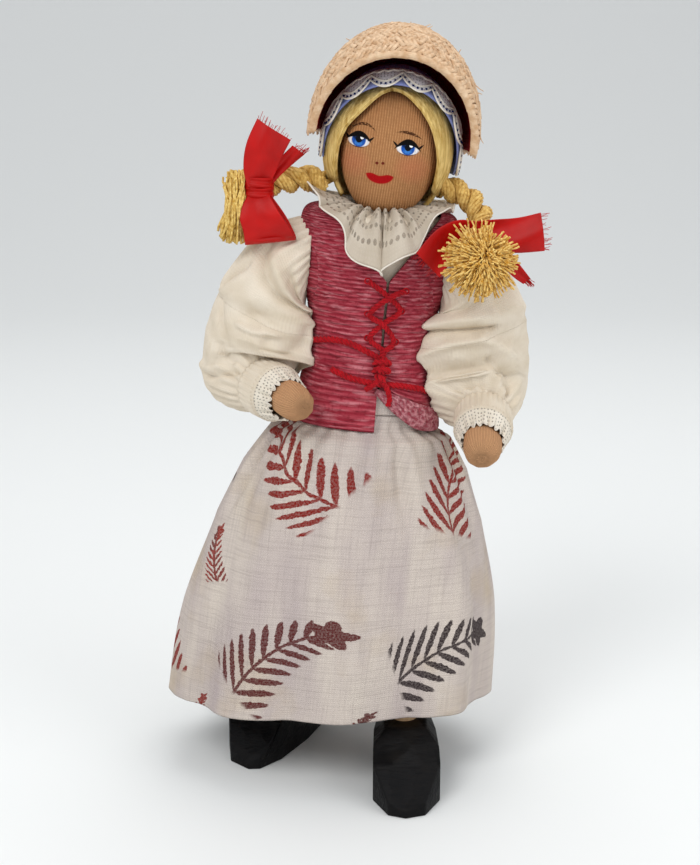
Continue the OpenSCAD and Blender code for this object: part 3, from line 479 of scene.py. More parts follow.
def sprig_cotton():
    """Loose plain-woven cotton, printed: beige with stains, soft patches of painted lilac shade and painted
    shade between the threads, brick-red and dark sprigs.
    """
    made, tree, shader = new_finish("cotton_printed", 0.9, Specular_IOR_Level=0.15)
    at = cloth_place(tree)
    shake = node(tree, "ShaderNodeTexNoise", {"Vector": at, "Scale": 0.9, "Detail": 2.0}, "Color")
    shake = node(tree, VECTOR, [shake, (0.5, 0.5, 0.5)], operation="SUBTRACT")
    rough = node(tree, VECTOR, [shake, (1.2, 1.2, 0), at], **TIMES_PLUS)
    large, hue = sprig(tree, rough, 58.0, (50.0, 3.0), 23.0, 16.0, 1.0)
    small, other = sprig(tree, rough, 58.0, (21.0, -24.0), 9.5, 6.5, 0.7)
    print_share = node(tree, MATH, [large, small], operation="MAXIMUM")
    dark = node(tree, RAMP, {"Value": hue, "From Min": 0.6, "From Max": 0.64}, clamp=True)
    printed = tinted(tree, dark, "#7C1810", "#2E2426")
    printed = tinted(tree, node(tree, MATH, [small, other], **TIMES), printed, "#8E2A1C")
    patchy = spots(tree, at, 1.6, 0.25, 0.6, 3.0)
    cover = node(tree, MATH, [print_share, node(tree, MATH, [patchy, 0.3, 0.7], **TIMES_PLUS)], **TIMES)
    # Broad soft patches of painted lilac shade
    shade = spots(tree, at, 0.06, 0.35, 0.75, 3.0, (1, 0.25, 1))
    stain = spots(tree, at, 0.035, 0.52, 0.75, 4.0)
    cloth = tinted(tree, shade, "#D9CEC2", "#A7989E", 0.75)
    cloth = tinted(tree, stain, cloth, "#C2AD89", 0.6)
    slub = spots(tree, at, 0.5, 0.48, 0.75, 3.0, (0.1, 2.4, 1))
    drop = spots(tree, at, 0.5, 0.5, 0.75, 3.0, (2.4, 0.1, 1))
    cloth = tinted(tree, slub, cloth, "#8F847E", 0.3)
    cloth = tinted(tree, drop, cloth, "#8A7F7C", 0.24)
    weave = plain_weave(tree, at, 0.8)
    # Painted shade where the weave is low, between the threads
    cloth = tinted(tree, node(tree, MATH, [weave, -0.24, 0.24], **TIMES_PLUS), cloth, "#8B807A")
    coated(tree, shader, tinted(tree, cover, cloth, printed), weave, 0.12)
    return made


def plain_cotton(name, light, shade, thread=0.7, holes=None):
    """Plain-woven cotton, washed: soft threads, soft patches of painted shade, painted shade between the
    threads and a matt face.
    """
    made, tree, shader = new_finish(name, 0.9, Specular_IOR_Level=0.15)
    at = cloth_place(tree)
    soft = spots(tree, at, 0.12, 0.35, 0.75, 3.0)
    weave = plain_weave(tree, at, thread)
    # A lit and a shaded colour of the cloth: soft patches of painted shade, and painted shade between the
    # threads
    colour = tinted(tree, soft, light, shade, 0.6)
    colour = tinted(tree, node(tree, MATH, [weave, -0.16, 0.16], **TIMES_PLUS), colour, shade)
    coated(tree, shader, colour, weave, 0.09, holes(tree, at) if holes else None)
    return made


def eyelets(tree, at):
    """Sheer cloth with rows of drawn-thread holes, uneven near the neck: v is the distance from the neck."""
    v = node(tree, APART, [at], "Y")
    u = node(tree, APART, [at], "X")
    pitch = node(tree, MATH, [node(tree, MATH, [u, 1.5], operation="FLOORED_MODULO"), 0.75],
                 operation="SUBTRACT")
    rows = node(tree, CELLS, {"Vector": at, "Scale": 0.55}, "Distance", voronoi_dimensions="2D",
                feature="F1")
    rows = node(tree, RAMP, {"Value": rows, "From Min": 0.3, "From Max": 0.18}, clamp=True)
    near = node(tree, RAMP, {"Value": v, "From Min": 8.5, "From Max": 7.0}, clamp=True)
    rows = node(tree, MATH, [rows, near], **TIMES)
    for mid in (9.3, 12.0):
        dv = node(tree, MATH, [v, mid], operation="SUBTRACT")
        far = node(tree, VECTOR, [node(tree, TOGETHER, [pitch, dv])], "Value",
                   operation="LENGTH")
        hole = node(tree, RAMP, {"Value": far, "From Min": 0.55, "From Max": 0.35}, clamp=True)
        rows = node(tree, MATH, [rows, hole], operation="MAXIMUM")
    return node(tree, MATH, [rows, -0.55, 0.8], **TIMES_PLUS)


def lace_holes(tree, at):
    """Bobbin lace: round meshes between thick threads."""
    far = node(tree, CELLS, {"Vector": at, "Scale": 0.85, "Randomness": 0.35}, "Distance",
               voronoi_dimensions="2D", feature="F1")
    return node(tree, RAMP, {"Value": far, "From Min": 0.16, "From Max": 0.26, "To Min": 0.25,
                             "To Max": 1.0}, clamp=True)


def crimson_weave():
    """Handwoven cotton: thick crimson weft painted lighter on its ribs, broken by pale slubs and by painted
    shade in the gaps between the picks.
    """
    made, tree, shader = new_finish("cotton_handwoven_crimson", 0.95, Specular_IOR_Level=0.12)
    at = cloth_place(tree)
    weft = ribs(tree, at, "Y", 1.25, 0.9, 0.14)
    weft = node(tree, MATH, [weft, spots(tree, at, 0.35, 0.25, 0.55, 3.0, (0.3, 1.6, 1))], **TIMES)
    slub = spots(tree, at, 0.55, 0.5, 0.66, 3.0, (0.2, 1.9, 1))
    gap = spots(tree, at, 0.8, 0.5, 0.68, 3.0, (0.3, 1.7, 1))
    tick = spots(tree, at, 1.3, 0.52, 0.7, 2.0, (1.0, 0.8, 1))
    # Painted light on the weft's ribs, and painted shade in the gaps between the picks
    colour = tinted(tree, weft, "#8C2533", "#B94F5B")
    colour = tinted(tree, slub, colour, "#D68E95", 0.6)
    colour = tinted(tree, gap, colour, "#66121D", 0.6)
    colour = tinted(tree, tick, colour, "#6B1620", 0.35)
    height = node(tree, MATH, [weft, 0.7, node(tree, MATH, [gap, -0.4], **TIMES)], **TIMES_PLUS)
    coated(tree, shader, colour, height, 0.6)
    return made


def pink_side():
    """The wrong side of the same cloth: pale pink loops of weft, nubbly and without ribs."""
    made, tree, shader = new_finish("cotton_handwoven_reverse", 0.95, Specular_IOR_Level=0.12)
    at = cloth_place(tree)
    nub = spots(tree, at, 0.9, 0.35, 0.65, 2.0)
    deep = spots(tree, at, 0.5, 0.45, 0.7, 3.0)
    colour = tinted(tree, nub, "#97414D", "#C98A90")
    colour = tinted(tree, deep, colour, "#7C2430", 0.5)
    coated(tree, shader, colour, nub, 0.6)
    return made


def knit_height(tree, at, rib, course):
    """Stocking stitch: upright ribs, notched once a course."""
    wale = ribs(tree, at, "X", rib, 0.3)
    stitch = ribs(tree, at, "Y", course, 0.4)
    return node(tree, MATH, [wale, node(tree, MATH, [stitch, 0.35, 0.65], **TIMES_PLUS)], **TIMES)


def knit_skin(tree, at):
    """The tan knit of the face and the fists: its colour and its height."""
    height = knit_height(tree, at, 0.8, 0.9)
    light = node(tree, MATH, [height, 0.75, 0.1], **TIMES_PLUS)
    # Tans darkened as painted shade of the bonnet over the face; painted light on the ribs and painted shade
    # between them
    colour = tinted(tree, light, "#96673F", "#C79466")
    warm = spots(tree, at, 0.1, 0.35, 0.7, 2.0)
    colour = tinted(tree, warm, colour, "#B47C50", 0.4)
    mottle = spots(tree, at, 0.7, 0.45, 0.7, 3.0)
    return tinted(tree, mottle, colour, "#8F603B", 0.3), height


def fist_knit():
    """Cotton tricot, tan: fine upright ribs, with painted shade as dark lines between the loops."""
    made, tree, shader = new_finish("cotton_knit_tan", 0.95, Specular_IOR_Level=0.12)
    colour, height = knit_skin(tree, cloth_place(tree))
    # The fists lighten the face's tans, which hold the bonnet's painted shade
    coated(tree, shader, tinted(tree, 0.35, colour, "#D9AE88"), height, 0.3)
    return made


def face_paint():
    """Cotton tricot over wood, painted: blue eyes, red mouth and thin dotted brows on tan ribs."""
    made, tree, shader = new_finish("cotton_knit_painted", 0.9, Specular_IOR_Level=0.12)
    raw = node(tree, "ShaderNodeTexCoord", out="Object")
    mid = HEAD.translation * MM
    local = node(tree, "ShaderNodeMapping", {"Vector": raw, "Location": mid,
                 "Rotation": (0, math.radians(HEAD_LEAN), 0), "Scale": (MM, MM, MM)}, vector_type="TEXTURE")
    x, y, z = (node(tree, APART, [local], k) for k in range(3))
    flat = node(tree, TOGETHER, [x, z])
    colour, height = knit_skin(tree, flat)
    front = node(tree, MATH, [y, 0.0], operation="LESS_THAN")
    for spot in ((-11.6, -4.4), (7.0, -3.9)):
        blush = oval(tree, x, z, spot, (4.6, 3.8), 0.95)
        colour = tinted(tree, blush, colour, "#C2684E", 0.32)
    for eye, wide in ((-10.5, 1.0), (4.65, 1.08)):
        lift = 2.2 if eye < 0 else 1.9
        parts = [
            (oval(tree, x, z, (eye, lift), (3.2 * wide, 1.9), 0.15), "#E6E4E6"),
            (oval(tree, x, z, (eye, lift + 0.15), (2.15, 2.1), 0.12), "#1F55AE"),
            (oval(tree, x, z, (eye, lift + 1.2), (2.1, 1.2), 0.3), "#0E2550"),
            (oval(tree, x, z, (eye, lift - 0.8), (1.2, 0.7), 0.5), "#3E7CCB"),
            (oval(tree, x, z, (eye, lift + 0.35), (1.0, 1.05), 0.15), "#0C1018"),
            (oval(tree, x, z, (eye + 0.9, lift + 1.0), (0.55, 0.5), 0.2), "#FFFFFF"),
            (arc(tree, x, z, (eye, lift + 2.0), 0.14, 4.1 * wide, 0.9), "#0A090A"),
            (arc(tree, x, z, (eye, lift - 2.0), -0.1, 3.2 * wide, 0.18), "#4A2E22"),
            (arc(tree, x, z, (eye - 3.6 * wide, lift + 0.9), -0.25, 1.0, 0.45, -0.7), "#0A090A"),
            (arc(tree, x, z, (eye + 3.6 * wide, lift + 0.8), -0.25, 1.0, 0.45, 0.7), "#0A090A"),
        ]
        for share, code in parts:
            colour = tinted(tree, node(tree, MATH, [share, front], **TIMES), colour, code)
    broken = spots(tree, flat, 1.5, 0.4, 0.5, 1.0)
    for top, bend, reach, slant in (((-9.6, 7.4), 0.13, 4.2, 0.05), ((4.6, 6.6), 0.05, 4.4, -0.14)):
        brow = arc(tree, x, z, top, bend, reach, 0.48, slant)
        brow = node(tree, MATH, [brow, node(tree, MATH, [broken, 0.7, 0.3], **TIMES_PLUS)], **TIMES)
        colour = tinted(tree, brow, colour, "#4A2B18")
    for dot in ((-4.1, -3.6), (-2.3, -3.4)):
        colour = tinted(tree, oval(tree, x, z, dot, (0.5, 0.45), 0.4), colour, "#6A2418")
    lips = oval(tree, x, z, (-2.7, -6.9), (4.3, 2.9), 0.1)
    across = node(tree, MATH, [x, 2.8], operation="ADD")
    upper = node(tree, MATH, [node(tree, MATH, [node(tree, MATH, [across, 1.15], **TIMES)],
                                   operation="COSINE"), 0.28,
                              node(tree, MATH, [across, -0.02, z], **TIMES_PLUS)], **TIMES_PLUS)
    lower = node(tree, RAMP, {"Value": upper, "From Min": -6.9, "From Max": -7.2}, clamp=True)
    mouth = node(tree, MATH, [node(tree, MATH, [lips, lower], **TIMES), front], **TIMES)
    colour = tinted(tree, mouth, colour, "#A80C12")
    coated(tree, shader, colour, height, 0.22)
    return made


def straw():
    """Split oat straw, plaited: peach-cream, each straw a little lighter or darker, with a waxy sheen."""
    made, tree, shader = new_finish("oat_straw_plaited", 0.6, Specular_IOR_Level=0.25)
    at = solid_place(tree)
    tone = spots(tree, at, 0.45, 0.3, 0.7, 2.0)
    fibre = spots(tree, at, 3.0, 0.3, 0.7, 2.0, (0.3, 1, 1))
    colour = tinted(tree, tone, "#CDA67F", "#EBCFAE")
    colour = tinted(tree, fibre, colour, "#B0855C", 0.3)
    coated(tree, shader, colour, fibre, 0.05)
    return made


def straw_ground():
    """The same straw seen in the gaps of the plait: in shade, and duller."""
    made, tree, shader = new_finish("oat_straw_inner", 0.8)
    tone = spots(tree, solid_place(tree), 0.8, 0.3, 0.7, 3.0)
    coated(tree, shader, tinted(tree, tone, "#A97F5C", "#C79D76"), tone, 0.3)
    return made


def maroon_lining():
    """Brushed cotton, dark reddish brown: it drinks the light and has no gloss."""
    made, tree, shader = new_finish("cotton_brushed_maroon", 0.95, Specular_IOR_Level=0.08)
    at = cloth_place(tree)
    nap = spots(tree, at, 1.2, 0.3, 0.7, 4.0)
    coated(tree, shader, tinted(tree, nap, "#5E0D10", "#861A1A"), nap, 0.15)
    return made


def floss(name, pale, deep, along=(1, 1, 0.15)):
    """Stranded floss or yarn: blond, glossy along the strand, with darker streaks of painted shade for where
    strands part.
    """
    made, tree, shader = new_finish(name, 0.6, Specular_IOR_Level=0.2, Anisotropic=0.3)
    at = solid_place(tree)
    lock = spots(tree, at, 0.9, 0.32, 0.68, 3.0, along)
    fine = spots(tree, at, 3.5, 0.3, 0.7, 2.0, along)
    coated(tree, shader, tinted(tree, lock, deep, pale), fine, 0.06)
    return made


def satin():
    """Polyester satin ribbon, scarlet: smooth, with a broad soft gleam across its fine cords."""
    made, tree, shader = new_finish("polyester_satin_scarlet", 0.42, Anisotropic=0.5,
                                    Specular_IOR_Level=0.22)
    at = cloth_place(tree)
    cord = ribs(tree, at, "Y", 0.35)
    soft = spots(tree, at, 0.1, 0.35, 0.7, 2.0)
    coated(tree, shader, tinted(tree, soft, "#A50603", "#C20C09"), cord, 0.02)
    return made


def red_cord():
    """Wool cord, deep cherry red: round twisted plies with a soft fuzz."""
    made, tree, shader = new_finish("wool_cord_cherry", 0.85, Sheen_Weight=0.05, Specular_IOR_Level=0.15)
    at = solid_place(tree)
    fibre = spots(tree, at, 2.5, 0.3, 0.7, 2.0)
    deep = spots(tree, at, 0.5, 0.4, 0.7, 2.0)
    colour = tinted(tree, deep, tinted(tree, fibre, "#9A0813", "#BE1422"), "#6E0510", 0.5)
    coated(tree, shader, colour, fibre, 0.06)
    return made


FINISH = {}


def finish_of(name):
    """Each finish is made once."""
    if name not in FINISH:
        FINISH[name] = {
            "beech": beech_wood, "clog": painted_clog, "steel": steel, "skirt": sprig_cotton,
            "ivory": lambda: plain_cotton("cotton_ivory", "#E4D9C8", "#C6B69C"),
            "white": lambda: plain_cotton("cotton_white", "#EDE7DC", "#D2C9BA"),
            "sheer": lambda: plain_cotton("cotton_voile", "#DCD1C1", "#B4A58E", 0.6, eyelets),
            "lace": lambda: plain_cotton("cotton_lace", "#EBE3D5", "#C9BDA8", 0.6, lace_holes),
            "cap_lace": lambda: plain_cotton("cotton_lace_cap", "#F1F0F2", "#D2D2DC", 0.6, lace_holes),
            "cap": lambda: plain_cotton("cotton_periwinkle", "#8A94C8", "#6C77B2"),
            "navy": lambda: plain_cotton("cotton_thread_navy", "#1F2B5E", "#151E45"),
            "crimson": crimson_weave, "crimson_back": pink_side, "fist": fist_knit, "face": face_paint,
            "straw": straw, "straw_inner": straw_ground, "lining": maroon_lining, "satin": satin,
            "cord": red_cord,
            "hair": lambda: floss("floss_blond", "#F2D68C", "#BE984A"),
            "braid": lambda: floss("wool_yarn_gold", "#EBC878", "#B48638", (1, 1, 1)),
            "tuft": lambda: floss("wool_yarn_cut", "#F6D684", "#BE9238", (1, 1, 1)),
            "puff": lambda: floss("wool_yarn_puff", "#FAD886", "#C48A24", (1, 1, 1)),
        }[name]()
    return FINISH[name]


# Sizes and colours that a user may change
class DollSizes(bpy.types.PropertyGroup):
    hair_strands: bpy.props.IntProperty(name="Hair strands", description="Strands in each side of the hair",
                                        default=140, min=40, max=260)
    plait_rows: bpy.props.IntProperty(name="Plait rows", description="Rows of straw plait on the bonnet",
                                      default=12, min=8, max=16)
    fold_depth: bpy.props.FloatProperty(name="Fold depth",
                                        description="Depth of the skirt's folds at its hem",
                                        default=1.7 * MM, min=0, max=3 * MM, unit="LENGTH")
    pleat_height: bpy.props.FloatProperty(name="Pleat height", description="Height of the collar's pleats",
                                          default=3.2 * MM, min=1 * MM, max=4 * MM, unit="LENGTH")
    tassel_strands: bpy.props.IntProperty(name="Tassel strands", description="Strands of the round tassel",
                                          default=860, min=200, max=1200)


class DollColours(bpy.types.PropertyGroup):
    floor: bpy.props.FloatVectorProperty(name="Floor", description="Colour of the floor and the backdrop",
                                         size=4, subtype="COLOR", default=ink("#EAECEB"), min=0, max=1)


def sizes():
    return bpy.context.scene.doll_sizes


# The camera: height of the photograph's frame and focal length in pixels, sensor in mm, place in metres, and
# degrees from straight down
FRAME_HIGH, FOCAL_LENGTH, SENSOR = 865, 1500, 36
CAMERA_PLACE, CAMERA_TILT = (-0.001, -0.471, 0.230), 76
# The soft lamps: name, place and width in metres, and power in watts. All look at the doll's middle.
LAMPS = (("key", (-0.5, -0.75, 0.95), 0.6, 5.8), ("fill", (0.8, -0.55, 0.5), 0.8, 2.8),
         ("top", (0.1, 0.35, 1.1), 0.8, 3.6))
DOLL_MIDDLE = Vector((0, 0, 0.12))
SKY, SKY_STRENGTH = "#F4F5F8", 0.7
# The floor's half width, how far forward it lies, its backdrop's height and the bend between them, in metres
FLOOR_HALF, FLOOR_FORWARD, BACKDROP_HIGH, BACKDROP_BEND = 3, 0.9, 4, 1.2


class DOLL_OT_stage(bpy.types.Operator):
    """Lays the pale floor and its backdrop, hangs the soft lamps and sets the camera"""

    bl_idname = "doll.stage"
    bl_label = "Stage"

    def execute(self, context):
        scene = context.scene
        scene.view_settings.view_transform = "Standard"
        bm = bmesh.new()
        bmesh.ops.create_grid(bm, x_segments=1, y_segments=1, size=FLOOR_HALF)
        back = [e for e in bm.edges if all(v.co.y > 0 for v in e.verts)]
        raised = bmesh.ops.extrude_edge_only(bm, edges=back)["geom"]
        bmesh.ops.translate(bm, verts=[g for g in raised if isinstance(g, bmesh.types.BMVert)],
                            vec=(0, 0, BACKDROP_HIGH))
        bmesh.ops.translate(bm, verts=bm.verts, vec=(0, -FLOOR_FORWARD, 0))
        bmesh.ops.bevel(bm, geom=back, offset=BACKDROP_BEND, segments=16, profile=0.5, affect="EDGES",
                        material=-1)
        bmesh.ops.recalc_face_normals(bm, faces=bm.faces)
        floor = object_of("floor", bm)
        floor.data.shade_smooth()
        made, tree, shader = new_finish("paper_matt_grey", 0.9)
        shader.inputs["Base Color"].default_value = scene.doll_colours.floor
        floor.data.materials.append(made)
        world = bpy.data.worlds.new("studio")
        world.use_nodes = True
        sky = world.node_tree.nodes["Background"]
        sky.inputs["Color"].default_value = ink(SKY)
        sky.inputs["Strength"].default_value = SKY_STRENGTH
        scene.world = world
        for name, place, size, power in LAMPS:
            lamp = bpy.data.lights.new(name, "AREA")
            lamp.size, lamp.energy = size, power
            lamp.shape = "DISK"
            holder = bpy.data.objects.new(name, lamp)
            holder.location = place
            holder.rotation_euler = (DOLL_MIDDLE - Vector(place)).to_track_quat("-Z", "Y").to_euler()
            scene.collection.objects.link(holder)
        lens = bpy.data.cameras.new("camera")
        lens.sensor_fit, lens.sensor_height, lens.sensor_width = "VERTICAL", SENSOR, SENSOR
        lens.lens = FOCAL_LENGTH * SENSOR / FRAME_HIGH
        lens.clip_start, lens.clip_end = 0.01, 20
        camera = bpy.data.objects.new("camera", lens)
        camera.location = CAMERA_PLACE
        camera.rotation_euler = (math.radians(CAMERA_TILT), 0, 0)
        scene.collection.objects.link(camera)
        scene.camera = camera
        return {"FINISHED"}


class DOLL_OT_wood(bpy.types.Operator):
    """Gives the hidden wooden body, its pegs and its pins their wood and steel"""

    bl_idname = "doll.wood"
    bl_label = "Wooden body"

    def execute(self, context):
        wooden = ["trunk", "shoulder_peg", "hip_peg", "neck_peg", "head_ball", "upper_arm_left",
                  "upper_arm_right", "forearm_left", "forearm_right", "leg_left", "leg_right"]
        for names, finish in ((wooden, "beech"), (["elbow_pin_left", "elbow_pin_right"], "steel")):
            for name in names:
                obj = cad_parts[name]
                obj.data.materials.clear()
                obj.data.materials.append(finish_of(finish))
        return {"FINISHED"}


# Edges between knife cuts: least angle in radians and least length in metres, and their worn round in mm
CUT_ANGLE, CUT_LENGTH, CUT_ROUND = 0.3, 0.003, 0.45


class DOLL_OT_clogs(bpy.types.Operator):
    """Carves the two clogs: knife facets with softened edges, painted black"""

    bl_idname = "doll.clogs"
    bl_label = "Clogs"

    def execute(self, context):
        for side in (LEFT, RIGHT):
            name = f"clog_{SIDE_NAME[side]}"
            bm = bmesh.new()
            bm.from_mesh(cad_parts[name].data)
            bmesh.ops.remove_doubles(bm, verts=bm.verts, dist=2e-6)
            bmesh.ops.dissolve_limit(bm, angle_limit=math.radians(2), verts=bm.verts, edges=bm.edges)
            sharp = [e for e in bm.edges if len(e.link_faces) == 2 and e.calc_face_angle(0) > CUT_ANGLE
                     and e.calc_length() > CUT_LENGTH]
            bmesh.ops.bevel(bm, geom=sharp, offset=CUT_ROUND * MM, segments=2, profile=0.5, affect="EDGES",
                            material=-1)
            obj = object_of(f"{name}_carved", bm)
            dressed(obj, "clog", [name])
            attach(obj, f"leg_{SIDE_NAME[side]}")
        return {"FINISHED"}


# Sharp creases below the waist: angle, width, depth in mm, and how far down each runs
CREASES = [(201, 5, 2.6, 0.42), (292, 5, 2.6, 0.4), (238, 6, 1.6, 0.3), (266, 5, 1.5, 0.34),
           (318, 6, 2.0, 0.5)]
# Half width of the waist, half width and half depth of the hem, and how far the cloth lies inside them
WAIST_HALF, HEM_WIDE, HEM_DEEP, SKIRT_IN = 20.7, 54, 38.5, 0.5
# Middle of the hem, how far back the waist's middle is, and the flat cloth: round the top, the hem, and down
HEM_X, HEM_Y, HEM_Z, WAIST_Y = -8, 6.5, 21.6, 9.5
TOP_ROUND, HEM_ROUND, SKIRT_LONG = 112, 330, 104
SOFT_FOLDS, GATHERS = 9, 26
# How far the skirt has widened, by the share of its way down
SKIRT_OUT = [(0, 0), (0.05, 0.03), (0.085, 0.26), (0.2, 0.48), (0.38, 0.7), (0.66, 0.93), (1, 1)]


class DOLL_OT_skirt(bpy.types.Operator):
    """Gathers the printed skirt to its band and lets it fall in soft folds"""

    bl_idname = "doll.skirt"
    bl_label = "Skirt"

    def execute(self, context):
        top = TRUNK @ Vector((0, 0, 15.5))
        depth = sizes().fold_depth / MM

        def bell(u, v):
            down, a = 1 - v, TURN * u + math.pi / 2
            c, s = math.cos(a), math.sin(a)
            out = looked_up(SKIRT_OUT, down)
            w = between(WAIST_HALF, HEM_WIDE, out) - SKIRT_IN
            d = between(WAIST_HALF * FLAT, HEM_DEEP, out) - SKIRT_IN
            f = depth * (0.25 + 0.75 * down) * math.cos(SOFT_FOLDS * a + math.radians(40)) \
                * eased(0, 0.12, down)
            f += 0.6 * math.cos(GATHERS * a + 2.5 * ripple(2 * c, 2 * s, 1)) \
                * eased(0.0, 0.07, down) * (1 - eased(0.15, 0.6, down))
            f += 1.6 * ripple(3 * c, 3 * s, 0.9 * down + 5) * eased(0.1, 0.6, down)
            f += 0.8 * ripple(7 * c, 7 * s, 3 * down) * eased(0.1, 0.4, down)
            for at, wide, deep, low in CREASES:
                off = (math.degrees(a) - at + 180) % 360 - 180 - 10 * down
                f -= deep * math.exp(-(off / wide) ** 2) * eased(0.05, 0.16, down) \
                    * (1 - eased(low / 2, low, down))
            x = top.x + down ** 0.75 * (HEM_X - top.x) + (w + f) * c
            y = WAIST_Y + down * (HEM_Y - WAIST_Y) + (d + f) * s
            z = top.z + down * (HEM_Z - top.z) - w * c * math.tan(math.radians(LEAN)) * v * v
            z += down ** 6 * (3.8 * max(0, -s) ** 2 + 3.0 * max(0, -c) ** 3 + 0.5 * ripple(2 * c, 2 * s, 9))
            return (x, y, z)

        bm = weave_grid(330, 110, bell, (HEM_ROUND, SKIRT_LONG), True)
        uv = bm.loops.layers.uv["weave"]
        for face in bm.faces:
            for corner in face.loops:
                along, up = corner[uv].uv
                wide = between(TOP_ROUND, HEM_ROUND, looked_up(SKIRT_OUT, 1 - up / SKIRT_LONG)) / HEM_ROUND
                corner[uv].uv.x = (along - HEM_ROUND / 2) * wide
        obj = clothed("skirt_printed", bm, "skirt", ["skirt"], 0.6)
        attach(obj, "torso")

        def band(u, v):
            a = TURN * u
            r = 20.3 + 0.25 * math.cos(30 * a) * v * (1 - v) * 4
            return TRUNK @ Vector((r * math.cos(a), r * FLAT * math.sin(a), 15.8 + 8 * v))

        obj = clothed("waistband_sewn", weave_grid(120, 12, band, (112, 8), True), "skirt",
                      ["waistband"], 0.8)
        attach(obj, "torso")
        return {"FINISHED"}


# The vest's side outline: half width and height above the hip peg
VEST_SIDE = [(23.2, 10.5), (21.6, 22), (20.2, 32), (19.7, 42), (21.4, 51), (23.8, 59), (24.7, 66),
             (24.8, 73), (24.3, 77.4), (22.4, 79.5), (18.3, 80.3), (13.4, 80.6)]
# Middle and half width of the opening, and the V above it: its foot, its height and where its sides end
OPENING, OPENING_HALF = 3.6, 0.45
V_FOOT, V_HIGH, V_TOP = 59, 23.2, {LEFT: -16.49, RIGHT: 20.09}
# Top of each front as a share of the outline, and the armholes: half depth, half height and middle height
FRONT_TOP = {LEFT: 0.955, RIGHT: 0.915}
VEST_ARMHOLE, BLOUSE_ARMHOLE = (11.2, 14, 62.2), (9.4, 9.4, 66)
# The line on which the right corner turns up, and the turned corner's lower and upper edges
FOLD_LINE = [(0, 24), (0.12, 19.2), (0.25, 15.4), (0.43, 12.4), (0.8, 10.8), (1, 10.5)]
FLAP_LOW = [(2.4, 23.6), (6.6, 19.2), (11.0, 15.4), (15.3, 12.3), (19.4, 10.9), (22.2, 10.5)]
FLAP_HIGH = [(2.6, 24.4), (8.0, 23.0), (12.4, 21.2), (16.6, 19.5), (19.5, 18.2), (21.6, 16.8)]
# The two strands of the lacing and its holes, by distance from the middle and height, and the waist cord's
# way round, by degrees from the front and height
LACE_A = [(-2.1, 58.8), (4.0, 54.2), (7.6, 49.8), (2.9, 45.3), (-0.5, 40.5), (3.7, 36.7), (3.4, 34.2)]
LACE_B = [(8.7, 56.4), (4.0, 54.2), (-1.1, 48.3), (2.9, 45.3), (6.6, 39.7), (3.7, 36.7), (3.0, 34.2)]
LACE_HOLES = [(-2.6, 58.9), (9.2, 56.4), (8.4, 49.8), (-1.8, 48.3), (7.4, 39.7), (-1.2, 40.5)]
WAIST_TURN = [(9, 34.2), (-16, 38), (-36, 38.7), (-61, 37.4), (-90, 36.5), (-135, 36), (-180, 34.5),
              (-225, 31), (-270, 26.5), (-297, 23.6), (-310, 24.5), (-332, 25.8), (-350, 26.1), (-363, 26.6),
              (-376, 27.5), (-393, 29.3)]


def side_at(share):
    """Half width and height of the vest's side at a share of its outline."""
    return through(VEST_SIDE, share)


def side_share(height):
    """The share of the outline at a height, below the shoulder's turn."""
    low, high = 0.0, 1.0
    for _ in range(30):
        half = (low + high) / 2
        low, high = (half, high) if side_at(half)[1] < height else (low, half)
    return low


def arm_angle(w, t, half_y, half_t, mid_t):
    """Angle from the front at which a panel of half width w meets the armhole at height t, or the side."""
    off = (t - mid_t) / half_t
    if abs(off) >= 1:
        return math.pi / 2
    return math.acos(min(1, half_y * math.sqrt(1 - off * off) / (FLAT * w)))


def vest_point(angle, share, out=0.0):
    """A point of the vest by its angle from the front and its share of the side outline."""
    w, t = side_at(share)
    return TRUNK @ Vector(((w + out) * math.sin(angle), -FLAT * (w + out) * math.cos(angle), t))


def vest_spot(x, t, out):
    """A point on the vest's front by its distance from the trunk's middle and its height."""
    share = side_share(t)
    w = side_at(share)[0]
    return vest_point(math.asin(max(-1, min(1, x / w))), share, out)


def v_edge(side, t):
    """Distance of a front's inner edge from the trunk's middle."""
    straight = OPENING + side * OPENING_HALF
    if t <= V_FOOT:
        return straight
    return straight + (V_TOP[side] - OPENING) / V_HIGH * (t - V_FOOT)


